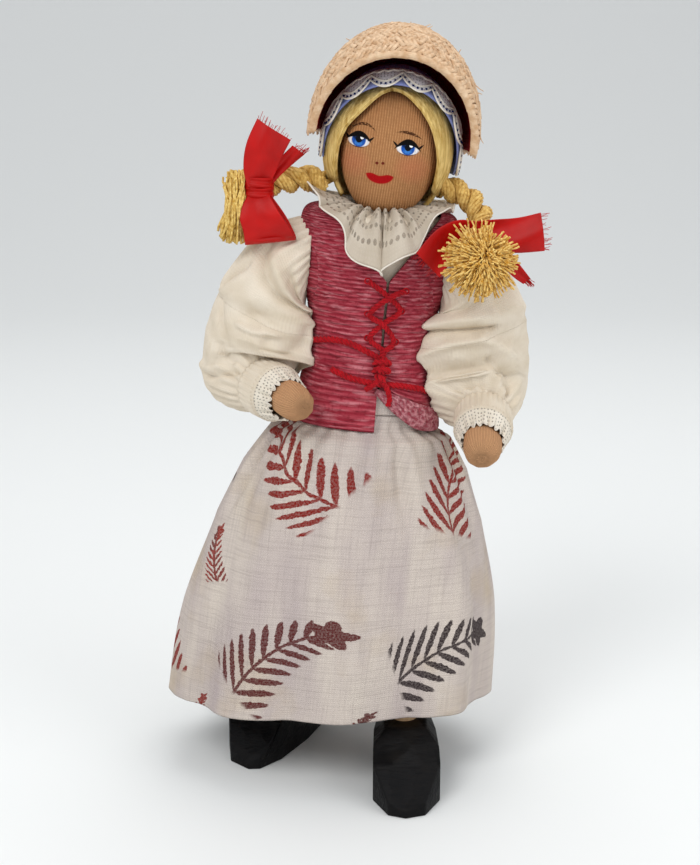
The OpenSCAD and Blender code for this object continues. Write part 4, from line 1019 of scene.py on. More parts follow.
class DOLL_OT_vest(bpy.types.Operator):
    """Sews the handwoven vest: two fronts, the turned-up corner and the back"""

    bl_idname = "doll.vest"
    bl_label = "Vest"

    def execute(self, context):
        def soft(p):
            wave = ripple(p.x * 0.16, p.y * 0.16, p.z * 0.12)
            return p + (TRUNK.to_3x3() @ Vector((0, -1, 0))) * 0.3 * wave

        def front(side):
            top = FRONT_TOP[side]
            waist = side_share(30)

            def place(u, v):
                share = top * v
                if side > 0 and share < waist:
                    share = between(side_share(looked_up(FOLD_LINE, u)), waist, v * top / waist)
                w, t = side_at(share)
                inner = math.asin(max(-1, min(1, v_edge(side, t) / w)))
                outer = side * arm_angle(w, t, *VEST_ARMHOLE)
                if side * outer < side * inner:
                    outer = inner
                return soft(vest_point(between(inner, outer, u), share, 0.15 * math.sin(math.pi * u)))
            return place

        for side in (LEFT, RIGHT):
            name = f"vest_front_{SIDE_NAME[side]}"
            obj = clothed(f"{name}_woven", weave_grid(64, 120, front(side), (30, 74)), "crimson",
                          [name], 1.0)
            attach(obj, "torso")

        def back(u, v):
            w, t = side_at(v)
            reach = math.pi - arm_angle(w, t, *VEST_ARMHOLE)
            return soft(vest_point(math.pi + between(-reach, reach, u), v))

        obj = clothed("vest_back_woven", weave_grid(110, 120, back, (66, 76)), "crimson",
                      ["vest_back"], 1.0)
        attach(obj, "torso")

        def flap(u, v):
            low, high = through(FLAP_LOW, u), through(FLAP_HIGH, u)
            x, t = between(low[0], high[0], v), between(low[1], high[1], v)
            rise = 1.0 + 1.1 * math.sin(math.pi * v ** 0.6) + 0.4 * v
            return vest_spot(x, t, rise + 0.3 * ripple(x * 0.5, t * 0.5, 3))

        obj = clothed("vest_corner_turned", weave_grid(60, 24, flap, (24, 8)), "crimson_back",
                      (), 0.9)
        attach(obj, "torso")
        return {"FINISHED"}


# The blouse's side outline, in the way of the vest's
BLOUSE_SIDE = [(18.6, 10.5), (17.2, 26), (16.2, 42), (18, 51), (20.0, 59), (20.9, 66), (21.0, 73),
               (20.2, 77.2), (16.8, 78.6), (12.6, 79.1)]


class DOLL_OT_blouse(bpy.types.Operator):
    """Sews the blouse's body and its neckband"""

    bl_idname = "doll.blouse"
    bl_label = "Blouse"

    def execute(self, context):
        def body(half):
            def place(u, v):
                w, t = through(BLOUSE_SIDE, v)
                arm = arm_angle(w, t, *BLOUSE_ARMHOLE)
                a = between(-arm, arm, u) if half < 0 else between(math.pi - arm, math.pi + arm, u)
                r = w + 0.25 * math.cos(34 * a + 3 * ripple(a, t * 0.05, 2)) * eased(0.45, 0.9, v)
                return TRUNK @ Vector((r * math.sin(a), -FLAT * r * math.cos(a), t))
            return place

        parts = [clothed(f"blouse_{k}", weave_grid(80, 90, body(half), (64, 76)), "ivory",
                         (), 0.5) for k, half in (("a", -1), ("b", 1))]
        bm = bmesh.new()
        for part in parts:
            bm.from_mesh(part.data)
            bpy.data.objects.remove(part)
        bmesh.ops.remove_doubles(bm, verts=bm.verts, dist=1e-6)
        obj = object_of("blouse_sewn", bm)
        dressed(obj, "ivory", ["blouse_body"])
        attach(obj, "torso")

        def band(u, v):
            a = TURN * u
            r = 7.6 + 0.12 * math.cos(24 * a)
            return TRUNK @ Vector((r * math.cos(a), r * math.sin(a), 73.4 + 5 * v))

        obj = clothed("neckband_sewn", weave_grid(96, 8, band, (48, 5), True), "white",
                      ["neckband"], 0.8)
        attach(obj, "torso")
        return {"FINISHED"}


# The collar: radius at the neck, reach to the right, to the wing at the left and to the front, and the height
# of its edge behind and in front
NECK_R, COLLAR_SIDE, COLLAR_WING, COLLAR_FRONT = 8.4, 23.2, 24.6, 20.8
COLLAR_HIGH, COLLAR_LOW = 81.5, 62.0


class DOLL_OT_collar(bpy.types.Operator):
    """Pleats the sheer collar round the neck"""

    bl_idname = "doll.collar"
    bl_label = "Collar"

    def execute(self, context):
        height = sizes().pleat_height / MM

        def ruffle(u, v):
            a = TURN * u
            c, d = math.cos(a), math.sin(a)
            front = eased(0.1, -0.75, d)
            wing = math.exp(-((math.degrees(a) - 188) / 22) ** 2)
            rise = COLLAR_HIGH + (COLLAR_LOW - COLLAR_HIGH) * abs(d) ** 5 if d < 0 else COLLAR_HIGH - d
            rise += 4.2 * wing
            top = between(81.8, 80.6, front)
            t = top - between(2.4, 1.0, front) * (1 - eased(0, 0.25, v)) \
                + v ** between(3.0, 2.5, front) * (rise - top)
            gather = 1.05 * math.cos(26 * a + 4 * ripple(2 * c, 2 * d, 3)) * eased(0, 0.15, v) \
                * (1 - 0.75 * eased(0.5, 1.0, v))
            phase = 11 * a + 2.2 * ripple(1.5 * c, 1.5 * d, 3)
            big = height * (0.7 + 0.5 * ripple(2 * c, 2 * d, 7))
            wave = big * v ** 1.2 * (math.cos(phase) * 0.6 + 0.2)
            lean = 0.8 * v * math.sin(phase) / NECK_R
            r = NECK_R + v * (between(COLLAR_SIDE, COLLAR_WING, wing) - NECK_R)
            q = NECK_R + v * (COLLAR_FRONT - NECK_R) + front * (wave * 0.7 + gather)
            return TRUNK @ Vector((r * math.cos(a + lean), -0.2 + q * math.sin(a + lean),
                                   t + wave * (1 - 0.4 * front) + gather))

        bm = weave_grid(400, 30, ruffle, (190, 15), True)
        obj = clothed("collar_pleated", bm, "sheer", ["collar_ruffle"], 0.3)
        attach(obj, "torso")
        edge = [[ruffle(u / 400, 1.0) for u in range(401)]]
        edge = threads("collar_edge", edge, 0.3, "white")
        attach(edge, "torso")
        return {"FINISHED"}


# Plies of the cords, and the radii of the lacing's plies, of the thread round its holes and of the plies
# round the waist
CORD_PLIES, PLY_R, HOLE_R, WAIST_PLY_R = 3, 0.48, 0.3, 0.55


class DOLL_OT_cords(bpy.types.Operator):
    """Twists the lacing and the cord round the waist"""

    bl_idname = "doll.cords"
    bl_label = "Lacing and cord"

    def execute(self, context):
        parts = []
        for spots_of, lift in ((LACE_A, 0.0), (LACE_B, 1.3)):
            route = []
            for k in range(41):
                x, t = through(spots_of, k / 40)
                over = math.sin(math.pi * (len(spots_of) - 1) * k / 80) ** 2
                route.append(vest_spot(x, t, 1.5 + lift * over))
            parts += plies(route, CORD_PLIES, 0.5, 4.4, 130)
        for x, t in LACE_HOLES:
            parts.append([vest_spot(x + 0.9 * math.cos(a), t + 0.9 * math.sin(a), 0.75)
                          for a in circle(12)])
        plied = 2 * CORD_PLIES
        obj = threads("lacing_twisted", parts, lambda k, s: PLY_R if k < plied else HOLE_R, "cord",
                      ["lacing"], 1)
        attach(obj, "torso")

        turns = []
        for k in range(121):
            angle, t = through(WAIST_TURN, k / 120)
            turns.append(vest_point(math.radians(angle), side_share(t), 1.15))
        strands = plies(turns, CORD_PLIES, 0.56, 4.6, 420)
        knot = [vest_spot(3.4 + 1.3 * math.sin(2.6 * k), 34.6 - 0.85 * k, 2.4 + 1.1 * math.sin(1.9 * k))
                for k in range(9)]
        strands += plies(knot, CORD_PLIES, 0.7, 4.0, 60)
        for level in (33.0, 30.6):
            wrap = [vest_spot(3.5 + 2.1 * math.cos(a), level + 0.7 * math.sin(a), 2.6 + 1.3 * math.sin(a))
                    for a in circle(16)]
            strands += plies(wrap, 2, 0.42, 3.6, 48)
        for end in (((3.6, 27.6), (5.4, 25.2), (6.4, 22.2), (6.2, 19.6)),
                    ((3.0, 27.8), (1.2, 25.6), (-0.6, 24.4))):
            tail = [vest_spot(*through(end, k / 8), 2.5) for k in range(9)]
            strands += plies(tail, CORD_PLIES, 0.42, 4.2, 30)
        obj = threads("waist_cord_twisted", strands, WAIST_PLY_R, "cord", ["waist_cord"], 1)
        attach(obj, "torso")
        return {"FINISHED"}


# Each station of a sleeve: a share of the way along the upper arm and the forearm, a shift away from the
# trunk, the shares of the outward, upper arm and forearm ways, and a share of the radius
SLEEVE_R, RING_STEPS = 14.6, 48
SLEEVE = [(0, 0, 0, 1, 0, 0, 0.7), (0.16, 0, 0.36, 1, 1, 0, 0.92), (0.38, 0, 0.42, 0, 1, 0, 0.98),
          (0.525, 0, 0.32, 0, 1, 0, 1.02), (0.7, 0, 0.2, 0, 1, 0.1, 1.04), (0.9, 0, 0, 0, 0.8, 0.4, 1.05),
          (0.98, 0.1, -0.05, 0, 0.5, 0.8, 0.97), (1, 0.40, 0, 0, 0, 1, 0.57)]
# The share at which a sleeve parts into its halves, its cloth in mm round and along, and its lap on the vest
SPLIT, SLEEVE_ROUND, SLEEVE_LONG, SLEEVE_LAP = 3 / 7, 92, 76, 7.5


def sleeve_rings(side):
    """The rings of points at the sleeve's stations."""
    arm_way = (ELBOW[side] - SHOULDER[side]).normalized()
    fore_way = (FIST[side] - ELBOW[side]).normalized()
    out_way = TRUNK.to_3x3() @ Vector((side, 0, 0))
    start = arm_way.cross(fore_way).normalized()
    rings = []
    for up, fore, shift, a, b, c, size in SLEEVE:
        way = (a * out_way + b * arm_way + c * fore_way).normalized()
        mid = SHOULDER[side] + up * (ELBOW[side] - SHOULDER[side]) + fore * (FIST[side] - ELBOW[side]) \
            + side * shift * SLEEVE_R * Vector((1, 0, 0))
        across = arm_way.rotation_difference(way) @ start
        front = way.cross(across)
        rings.append([mid + SLEEVE_R * size * (math.cos(t) * across + math.sin(t) * front)
                      for t in circle(RING_STEPS)[:-1]])
    return rings


# Folds of the sleeves: half width and height in mm, and the line that each follows, in shares of the way
# round and along the sleeve
FOLDS = {
    LEFT: [(1.5, -1.5, [(-0.013, 0.22), (0.02, 0.256), (0.053, 0.322)]),
           (1.8, 1.0, [(-0.03, 0.255), (0.0, 0.3), (0.035, 0.37)]),
           (2.2, -3.0, [(-0.04, 0.16), (-0.12, 0.2), (-0.173, 0.215), (-0.233, 0.235), (-0.273, 0.267),
                        (-0.32, 0.311)]),
           (1.6, 1.5, [(-0.1, 0.15), (-0.233, 0.18), (-0.293, 0.22)]),
           (1.5, -1.8, [(-0.187, 0.12), (-0.247, 0.13), (-0.307, 0.178), (-0.32, 0.289)]),
           (5.0, -3.4, [(-0.14, 0.378), (-0.13, 0.41)]),
           (1.5, 1.8, [(-0.1, 0.5), (-0.14, 0.495), (-0.2, 0.46)]),
           (1.5, -2.0, [(-0.033, 0.667), (-0.053, 0.80), (-0.047, 0.9)]),
           (1.4, -2.0, [(0.09, 0.82), (0.047, 0.88), (-0.007, 0.944)]),
           (1.5, 1.2, [(0.1, 0.76), (0.06, 0.82), (0.0, 0.89)]),
           (2.2, -1.8, [(-0.24, 0.6), (-0.28, 0.511), (-0.293, 0.367)]),
           (1.3, -1.2, [(-0.193, 0.478), (-0.193, 0.6)]),
           (1.6, -1.2, [(0.027, 0.433), (-0.04, 0.578), (-0.067, 0.667)])],
    RIGHT: [(1.7, -2.8, [(-0.09, 0.36), (-0.13, 0.34), (-0.167, 0.333), (-0.253, 0.345), (-0.31, 0.36)]),
            (2.0, 1.2, [(-0.12, 0.27), (-0.213, 0.265), (-0.32, 0.28)]),
            (1.5, -1.4, [(-0.12, 0.2), (-0.213, 0.215), (-0.30, 0.2)]),
            (2.0, 2.4, [(-0.093, 0.6), (-0.14, 0.467), (-0.207, 0.41), (-0.273, 0.41), (-0.327, 0.489),
                        (-0.373, 0.6)]),
            (5.5, -3.8, [(-0.2, 0.62), (-0.27, 0.6)]),
            (1.6, 1.8, [(-0.1, 0.96), (-0.2, 0.85), (-0.29, 0.84), (-0.353, 0.9), (-0.4, 0.97)]),
            (1.4, -1.6, [(-0.2, 0.93), (-0.28, 0.92), (-0.35, 0.97)]),
            (2.4, 1.4, [(-0.38, 0.644), (-0.44, 0.867), (-0.5, 0.95)]),
            (1.8, -2.4, [(-0.3, 0.567), (-0.38, 0.756), (-0.42, 0.922)]),
            (1.6, -1.4, [(-0.06, 0.68), (-0.11, 0.733)])]}
# The heights between which the waist cord runs under each sleeve, how far it lifts the sleeve, and the
# vest's lowest and highest point
CORD_RUN, CORD_LIFT = {LEFT: (33, 41), RIGHT: (21, 33)}, 1.9
VEST_LOW, VEST_HIGH = 9, 79


def fold_height(side, u, s):
    """Height of the folds at a share round the sleeve and a share along it."""
    total = 0
    for half, height, line in FOLDS[side]:
        nearest = math.inf
        for (u0, s0), (u1, s1) in zip(line, line[1:]):
            du, ds = (u1 - u0) * SLEEVE_ROUND, (s1 - s0) * SLEEVE_LONG
            eu, es = ((u - u0 + 0.5) % 1 - 0.5) * SLEEVE_ROUND, (s - s0) * SLEEVE_LONG
            f = min(1, max(0, (eu * du + es * ds) / (du * du + ds * ds)))
            nearest = min(nearest, (eu - f * du) ** 2 + (es - f * ds) ** 2)
        total += height * math.exp(-nearest / half ** 2)
    return total


def beside_vest(p, side, room):
    """Moves a point sideways until it is clear of the vest and of the cord on it."""
    q = TRUNK_BACK @ p
    if q.z > VEST_HIGH or q.z < VEST_LOW:
        return p
    w = side_at(side_share(q.z))[0] + 0.6
    low, high = CORD_RUN[side]
    gap = room + CORD_LIFT * eased(low - 2, low, q.z) * (1 - eased(high, high + 2, q.z))
    least = w * math.sqrt(max(0, 1 - (q.y / (w * FLAT)) ** 2)) + gap
    return TRUNK @ Vector((side * least, q.y, q.z)) if side * q.x < least else p


def sleeve_place(side, from_share, to_share):
    """Lays a sleeve's cloth between two shares of its length, with its gathers and creases."""
    rings = sleeve_rings(side)
    mids = [sum(ring, Vector()) / RING_STEPS for ring in rings]

    def place(u, v):
        s = between(from_share, to_share, v)
        at = u * RING_STEPS
        i = int(at) % RING_STEPS
        f = at - int(at)
        row = [list(between(ring[i], ring[(i + 1) % RING_STEPS], f)) for ring in rings]
        p = Vector(through(row, s))
        mid = Vector(through([list(m) for m in mids], s))
        way = (p - mid).normalized()
        a = TURN * u
        c, d = math.cos(a), math.sin(a)
        ends = eased(0.8, 0.95, s) * (1 - 1.4 * eased(0.96, 1, s)) + eased(0.2, 0.02, s)
        gathers = 0.55 * ends * math.cos(22 * a + 3 * ripple(2 * c, 2 * d, 4))
        puff = 1.3 * math.sin(math.pi * min(1, s * 1.02)) ** 2
        crease = 1.5 * (0.5 - abs(ripple(1.3 * c + 0.4 * s, 1.3 * d, 7 * s + 3 * side)) * 2.2)
        crease += 0.9 * ripple(3.2 * c, 3.2 * d, 9 * s + 11 * side)
        crease *= eased(0.03, 0.25, s) * eased(1.0, 0.8, s)
        p = p + way * (gathers + puff * 0.4 + crease * 0.4 + fold_height(side, u, s))
        lap = eased(0.1, 0.9, -side * way.x) * eased(2, -9, (TRUNK_BACK @ p).y) * eased(0.08, 0.28, s)
        p.x -= side * SLEEVE_LAP * lap * (1 - eased(0.86, 1, s))
        return beside_vest(p, side, 0.55) if s > 0.2 else p

    return place


# The cuff: radius, length, and how far down the forearm it starts, and the ruffles of its lace
CUFF_R, CUFF_LONG, LACE_RUFFLES = 8.75, 8.6, 16
CUFF_START = FOREARM - 6.6 - 2.2 - CUFF_LONG
LACE_STEPS = 264


class DOLL_OT_sleeves(bpy.types.Operator):
    """Sews the puffed sleeves, the gathered cuffs and their lace"""

    bl_idname = "doll.sleeves"
    bl_label = "Sleeves and cuffs"

    def execute(self, context):
        for side in (LEFT, RIGHT):
            word = SIDE_NAME[side]
            bm = weave_grid(150, 60, sleeve_place(side, 0.0, SPLIT), (92, 36), True)
            obj = clothed(f"sleeve_upper_{word}_sewn", bm, "ivory",
                          [f"sleeve_upper_{word}"], 0.5)
            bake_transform(obj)
            bm = weave_grid(150, 80, sleeve_place(side, SPLIT, 1.0), (92, 44), True)
            obj = clothed(f"sleeve_lower_{word}_sewn", bm, "ivory",
                          [f"sleeve_lower_{word}"], 0.5)
            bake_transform(obj)
            self.cuff(side, word)
        return {"FINISHED"}

    def cuff(self, side, word):
        def band(u, v):
            a = TURN * u
            c, s = math.cos(a), math.sin(a)
            r = CUFF_R + 0.22 * math.cos(30 * a) * (1 - v) + 0.25 * math.sin(math.pi * v) \
                + 0.25 * ripple(2 * c, 2 * s, 3 * v)
            return LOWER[side] @ Vector((r * c, r * s, 0.8 - CUFF_START - 9.3 * v))

        obj = clothed(f"cuff_{word}_sewn", weave_grid(180, 20, band, (56, CUFF_LONG), True), "ivory",
                      [f"cuff_{word}"], 0.7)
        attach(obj, f"forearm_{word}")
        stitches = []
        for row in (0.86, 0.93):
            mid = LOWER[side] @ Vector((0, 0, -CUFF_START - 8.5 * row))
            for k in range(44):
                spots_on = [Vector(band((k + f) / 44, row)) for f in (0.15, 0.4, 0.65)]
                stitches.append([p + (p - mid).normalized() * 0.42 for p in spots_on])
        obj = threads(f"cuff_{word}_stitches", stitches, 0.12, "ivory")
        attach(obj, f"forearm_{word}")

        def frill(u, v):
            a = TURN * u
            c, s = math.cos(a), math.sin(a)
            scallop = 0.75 + 0.25 * abs(math.cos(11 * a))
            r = 8.8 - 2.2 * v + 0.45 * math.cos(LACE_RUFFLES * a + 2 * ripple(c, s, side)) * v
            return LOWER[side] @ Vector((r * c, r * s, -CUFF_START - 8.5 - 6.2 * v * scallop))

        obj = clothed(f"cuff_lace_{word}_worked", weave_grid(LACE_STEPS, 14, frill, (60, 5), True),
                      "lace", [f"cuff_lace_{word}"], 0.3)
        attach(obj, f"forearm_{word}")
        picots = [[frill(k / LACE_STEPS + f / LACE_STEPS, 1.0) for f in (0, 0.5, 1)]
                  for k in range(LACE_STEPS)]
        obj = threads(f"cuff_lace_{word}_edge", picots, 0.22, "white")
        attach(obj, f"forearm_{word}")


# The fist's outline: radius and height below the elbow
FIST_SIDE = [(4.6, -14), (5.0, -17), (5.2, -20.5), (5.8, -23.5), (6.5, -27), (6.7, -30.2), (6.1, -33.4),
             (4.4, -35.6), (2.2, -36.5), (0.02, -36.4)]


class DOLL_OT_hands(bpy.types.Operator):
    """Knits the two fists"""

    bl_idname = "doll.hands"
    bl_label = "Fists"

    def execute(self, context):
        for side in (LEFT, RIGHT):
            word = SIDE_NAME[side]

            def place(u, v):
                a = TURN * u
                c, s = math.cos(a), math.sin(a)
                r, z = through(FIST_SIDE, v)
                r *= 0.9
                pinch = eased(0.55, 0.95, v)
                r *= 1 + 0.05 * pinch * math.cos(9 * a) + 0.05 * ripple(2 * c, 2 * s, 4 * v + side)
                thumb = math.exp(-((a - 4.4) / 0.5) ** 2 - ((v - 0.5) / 0.16) ** 2)
                r += 0.9 * thumb
                return LOWER[side] @ Vector((r * c, 0.93 * r * s, z))

            bm = weave_grid(120, 70, place, (36, 30), True)
            bmesh.ops.remove_doubles(bm, verts=bm.verts, dist=FIST_POLE * MM)
            obj = clothed(f"fist_{word}_knitted", bm, "fist", [f"hand_{word}"])
            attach(obj, f"forearm_{word}")
        return {"FINISHED"}


class DOLL_OT_face(bpy.types.Operator):
    """Draws the knitted cover over the head, with its painted face"""

    bl_idname = "doll.face"
    bl_label = "Face"

    def execute(self, context):
        bm = bmesh.new()
        bm.loops.layers.uv.new("weave")
        bmesh.ops.create_uvsphere(bm, u_segments=160, v_segments=100, radius=1)
        for vert in bm.verts:
            q = swollen(vert.co, FACE_HALF)
            if q.y < 0:
                nose = math.exp(-((q.x + 3.2) / 2.0) ** 2 - ((q.z + 2.0) / 2.6) ** 2)
                cheek = math.exp(-((abs(q.x + 2) - 8.5) / 4.0) ** 2 - ((q.z + 6.5) / 4.5) ** 2)
                chin = math.exp(-((q.x + 2) / 5.0) ** 2 - ((q.z + 14.5) / 4.0) ** 2)
                q.y -= 0.5 * nose + 0.35 * cheek + 0.5 * chin
                q.z -= 1.5 * eased(-7, -16, q.z) * min(1, -q.y / 5)
            vert.co = HEAD @ q * MM
        obj = clothed("face_painted", bm, "face", ["face_cover"])
        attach(obj, "head")
        return {"FINISHED"}


def globe(a, up):
    """The point of the unit ball at an angle round and an angle up."""
    return Vector((math.cos(up) * math.cos(a), math.cos(up) * math.sin(a), math.sin(up)))


def on_egg(way, half):
    """The point of an egg in a direction, on the head."""
    q = Vector(way)
    k = 1 / math.sqrt(sum((c / h) ** 2 for c, h in zip(q, half)))
    return HEAD @ (q * k)


# Head-local guides of the hair on each side: inner edge, outer edge, and how far the outside stands off
HAIR_GUIDES = {
    LEFT: ([(-2.9, -9.5, 19.4), (-7.4, -11.8, 15.7), (-11.9, -12.2, 10.3), (-14.8, -10.0, 5.7),
            (-15.9, -8.4, 0.6), (-16.3, -6.7, -5.1), (-16.2, -3.0, -12.0)],
           [(-2.8, 4.0, 22.5), (-10, 1.5, 20), (-16.5, 1.0, 13), (-20.3, 1.0, 5), (-21.2, 1.0, -1),
            (-20.6, 1.5, -7), (-18.2, 2.5, -13.5)], 1.07),
    RIGHT: ([(-2.7, -9.5, 19.4), (1.3, -11.4, 18.3), (6.0, -13.0, 15.4), (10.3, -13.5, 10.6),
             (12.9, -13.2, 6.2), (14.4, -12.1, 1.2), (14.9, -10.5, -4.0), (14.6, -7.5, -10.5)],
            [(-2.7, 4.0, 22.5), (6, 2.0, 21), (12, 1.5, 17.5), (16.5, 1.0, 12), (18.6, 1.0, 6),
             (19.4, 1.0, 0), (19.2, 1.5, -6), (17.6, 2.5, -12.5)], 1.0)}


# Layers of the hair at each side, steps along each strand, and the strands drawn on the back
HAIR_LAYERS, HAIR_STEPS, BACK_STRANDS = 3, 18, 90


class DOLL_OT_hair(bpy.types.Operator):
    """Parts the floss hair in the middle and combs it down both sides"""

    bl_idname = "doll.hair"
    bl_label = "Hair"

    def execute(self, context):
        rng = random.Random(11)
        count = sizes().hair_strands
        for side in (LEFT, RIGHT):
            inner, outer, reach = HAIR_GUIDES[side]
            routes = []
            for layer in range(HAIR_LAYERS):
                for k in range(count):
                    s = ((k + rng.random() * 0.7) / count) ** 1.15
                    wave, phase = rng.uniform(-0.16, 0.16), rng.uniform(0, 6)
                    short = rng.uniform(0.0, 0.03)
                    route = []
                    for i in range(HAIR_STEPS + 1):
                        f = i / HAIR_STEPS * (1 - short)
                        p = Vector(between(Vector(through(inner, f)), Vector(through(outer, f)), s))
                        p.x += wave * math.sin(math.pi * f + phase)
                        size = between(0.945, reach, s * eased(0.0, 0.5, f)) - 0.02 * layer \
                            + 0.008 * rng.random()
                        route.append(on_egg(p, HAIR_HALF * (size - 0.03 * (1 - eased(0, 0.12, f)))))
                    routes.append(route)
            word = SIDE_NAME[side]
            obj = threads(f"hair_{word}_combed", routes, 0.21, "hair", [f"hair_{word}"])
            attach(obj, "head")

        def back(u, v):
            a = math.radians(between(-8, 188, u))
            up = math.radians(between(-44, 84, v))
            k = 0.935 * (1 + 0.008 * math.cos(70 * a) + 0.01 * ripple(6 * a, 3 * v, 1))
            return HEAD @ (swollen(globe(a, up), HAIR_HALF) * k)

        obj = clothed("hair_back_combed", weave_grid(150, 60, back, (70, 50)), "hair",
                      ["hair_back"], 1.2)
        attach(obj, "head")
        routes = []
        for k in range(BACK_STRANDS):
            a = math.radians(between(2, 178, (k + rng.random() * 0.5) / BACK_STRANDS))
            turn = rng.uniform(-0.05, 0.05)
            routes.append([HEAD @ (swollen(globe(a + turn * up, up), HAIR_HALF) * 0.965)
                           for up in [math.radians(between(40, -45, i / 9)) for i in range(10)]])
        obj = threads("hair_back_strands", routes, 0.4, "hair")
        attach(obj, "head")
        return {"FINISHED"}


def dome(half, mid, front_y, front_z, hem):
    """Rules for a dome cut by a sloped front and a level hem, in the head's frame.

    Gives a place by angle round the opening and by share from the crown to the edge, and the angle there."""
    slope = math.radians(FRONT_SLOPE)
    normal = Vector((0, math.cos(slope), math.sin(slope)))
    stretched = swollen(normal, half)
    crown = stretched.normalized()
    reach = (Vector((0, front_y, front_z)) - mid).dot(normal) / stretched.length
    widest = math.acos(max(-1, min(1, reach)))
    across = Vector((1, 0, 0))
    down = crown.cross(across)

    def raw(angle, tilt):
        q = math.cos(tilt) * crown + math.sin(tilt) * (math.cos(angle) * across + math.sin(angle) * down)
        return mid + swollen(q, half)

    def edge(angle):
        if raw(angle, widest).z >= hem:
            return widest
        low, high = 0.0, widest
        for _ in range(24):
            half_way = (low + high) / 2
            low, high = (half_way, high) if raw(angle, half_way).z > hem else (low, half_way)
        return low

    return raw, edge


def dome_cloth(rules, steps, size):
    """The cloth of a dome, closed at its crown."""
    raw, edge = rules

    def place(u, v):
        a = TURN * u
        return HEAD @ raw(a, edge(a) * (0.004 + 0.996 * v))

    bm = weave_grid(*steps, place, size, True)
    bmesh.ops.remove_doubles(bm, verts=bm.verts, dist=CROWN_POLE * MM)
    return bm


def bonnet_dome(within, front_y, hem=3):
    """Rules for a dome a distance within the bonnet."""
    return dome(BONNET_HALF - Vector((within, within, within)), BONNET_MID, front_y, 6, hem)


class DOLL_OT_cap(bpy.types.Operator):
    """Sews the cotton cap and its scalloped lace"""

    bl_idname = "doll.cap"
    bl_label = "Cap"

    def execute(self, context):
        bm = dome_cloth(dome(CAP_HALF, Vector((0, 0, 0)), CAP_FRONT, 0, -5), (200, 40), (130, 45))
        obj = clothed("cap_sewn", bm, "cap", ["cap"], 0.6)
        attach(obj, "head")
        lace_raw, lace_edge = dome(CAP_HALF * 1.03, Vector((0, 0, 0)), CAP_FRONT, 0, -5)

        def frill(u, v):
            a = math.radians(between(-192, 12, u))
            scallop = abs(math.sin(SCALLOPS * math.pi * u))
            tilt = lace_edge(a)
            tilt = between(tilt - 0.3, tilt - 0.12 + 0.19 * scallop ** 0.7, v)
            grow = 1 + 0.02 * math.sin(math.pi * v) * scallop + 0.01 * v
            return HEAD @ (lace_raw(a, tilt) * grow)

        obj = clothed("cap_lace_worked", weave_grid(272, 18, frill, (96, 8)), "cap_lace",
                      ["cap_lace"], 0.3)
        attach(obj, "head")
        back = HEAD.inverted()
        lines = [[frill(k / 540, 1.0) for k in range(541)]]
        for across in (lambda u: 0.58 + 0.24 * abs(math.sin(SCALLOPS * math.pi * u)),
                       lambda u: 0.3 + 0.05 * math.cos(TURN * 27 * u)):
            lines.append([HEAD @ ((back @ frill(k / 540, across(k / 540))) * 1.006) for k in range(541)])
        obj = threads("cap_lace_edge", lines, 0.4, "white")
        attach(obj, "head")
        dots = []
        for k in range(SCALLOPS * 7):
            p = back @ frill((k + 0.5) / (SCALLOPS * 7), 0.93)
            dots.append([HEAD @ (p * 1.012 + Vector((dx, 0, 0))) for dx in (-0.3, 0, 0.3)])
        obj = threads("cap_lace_picots", dots, 0.36, "navy")
        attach(obj, "head")
        return {"FINISHED"}


# Distance between the straws along a row, in mm, their lean from the row's way across, in degrees, and how
# many have come loose
STRAW_STEP, STRAW_LEAN, LOOSE_STRAWS = 1.75, 34, 46


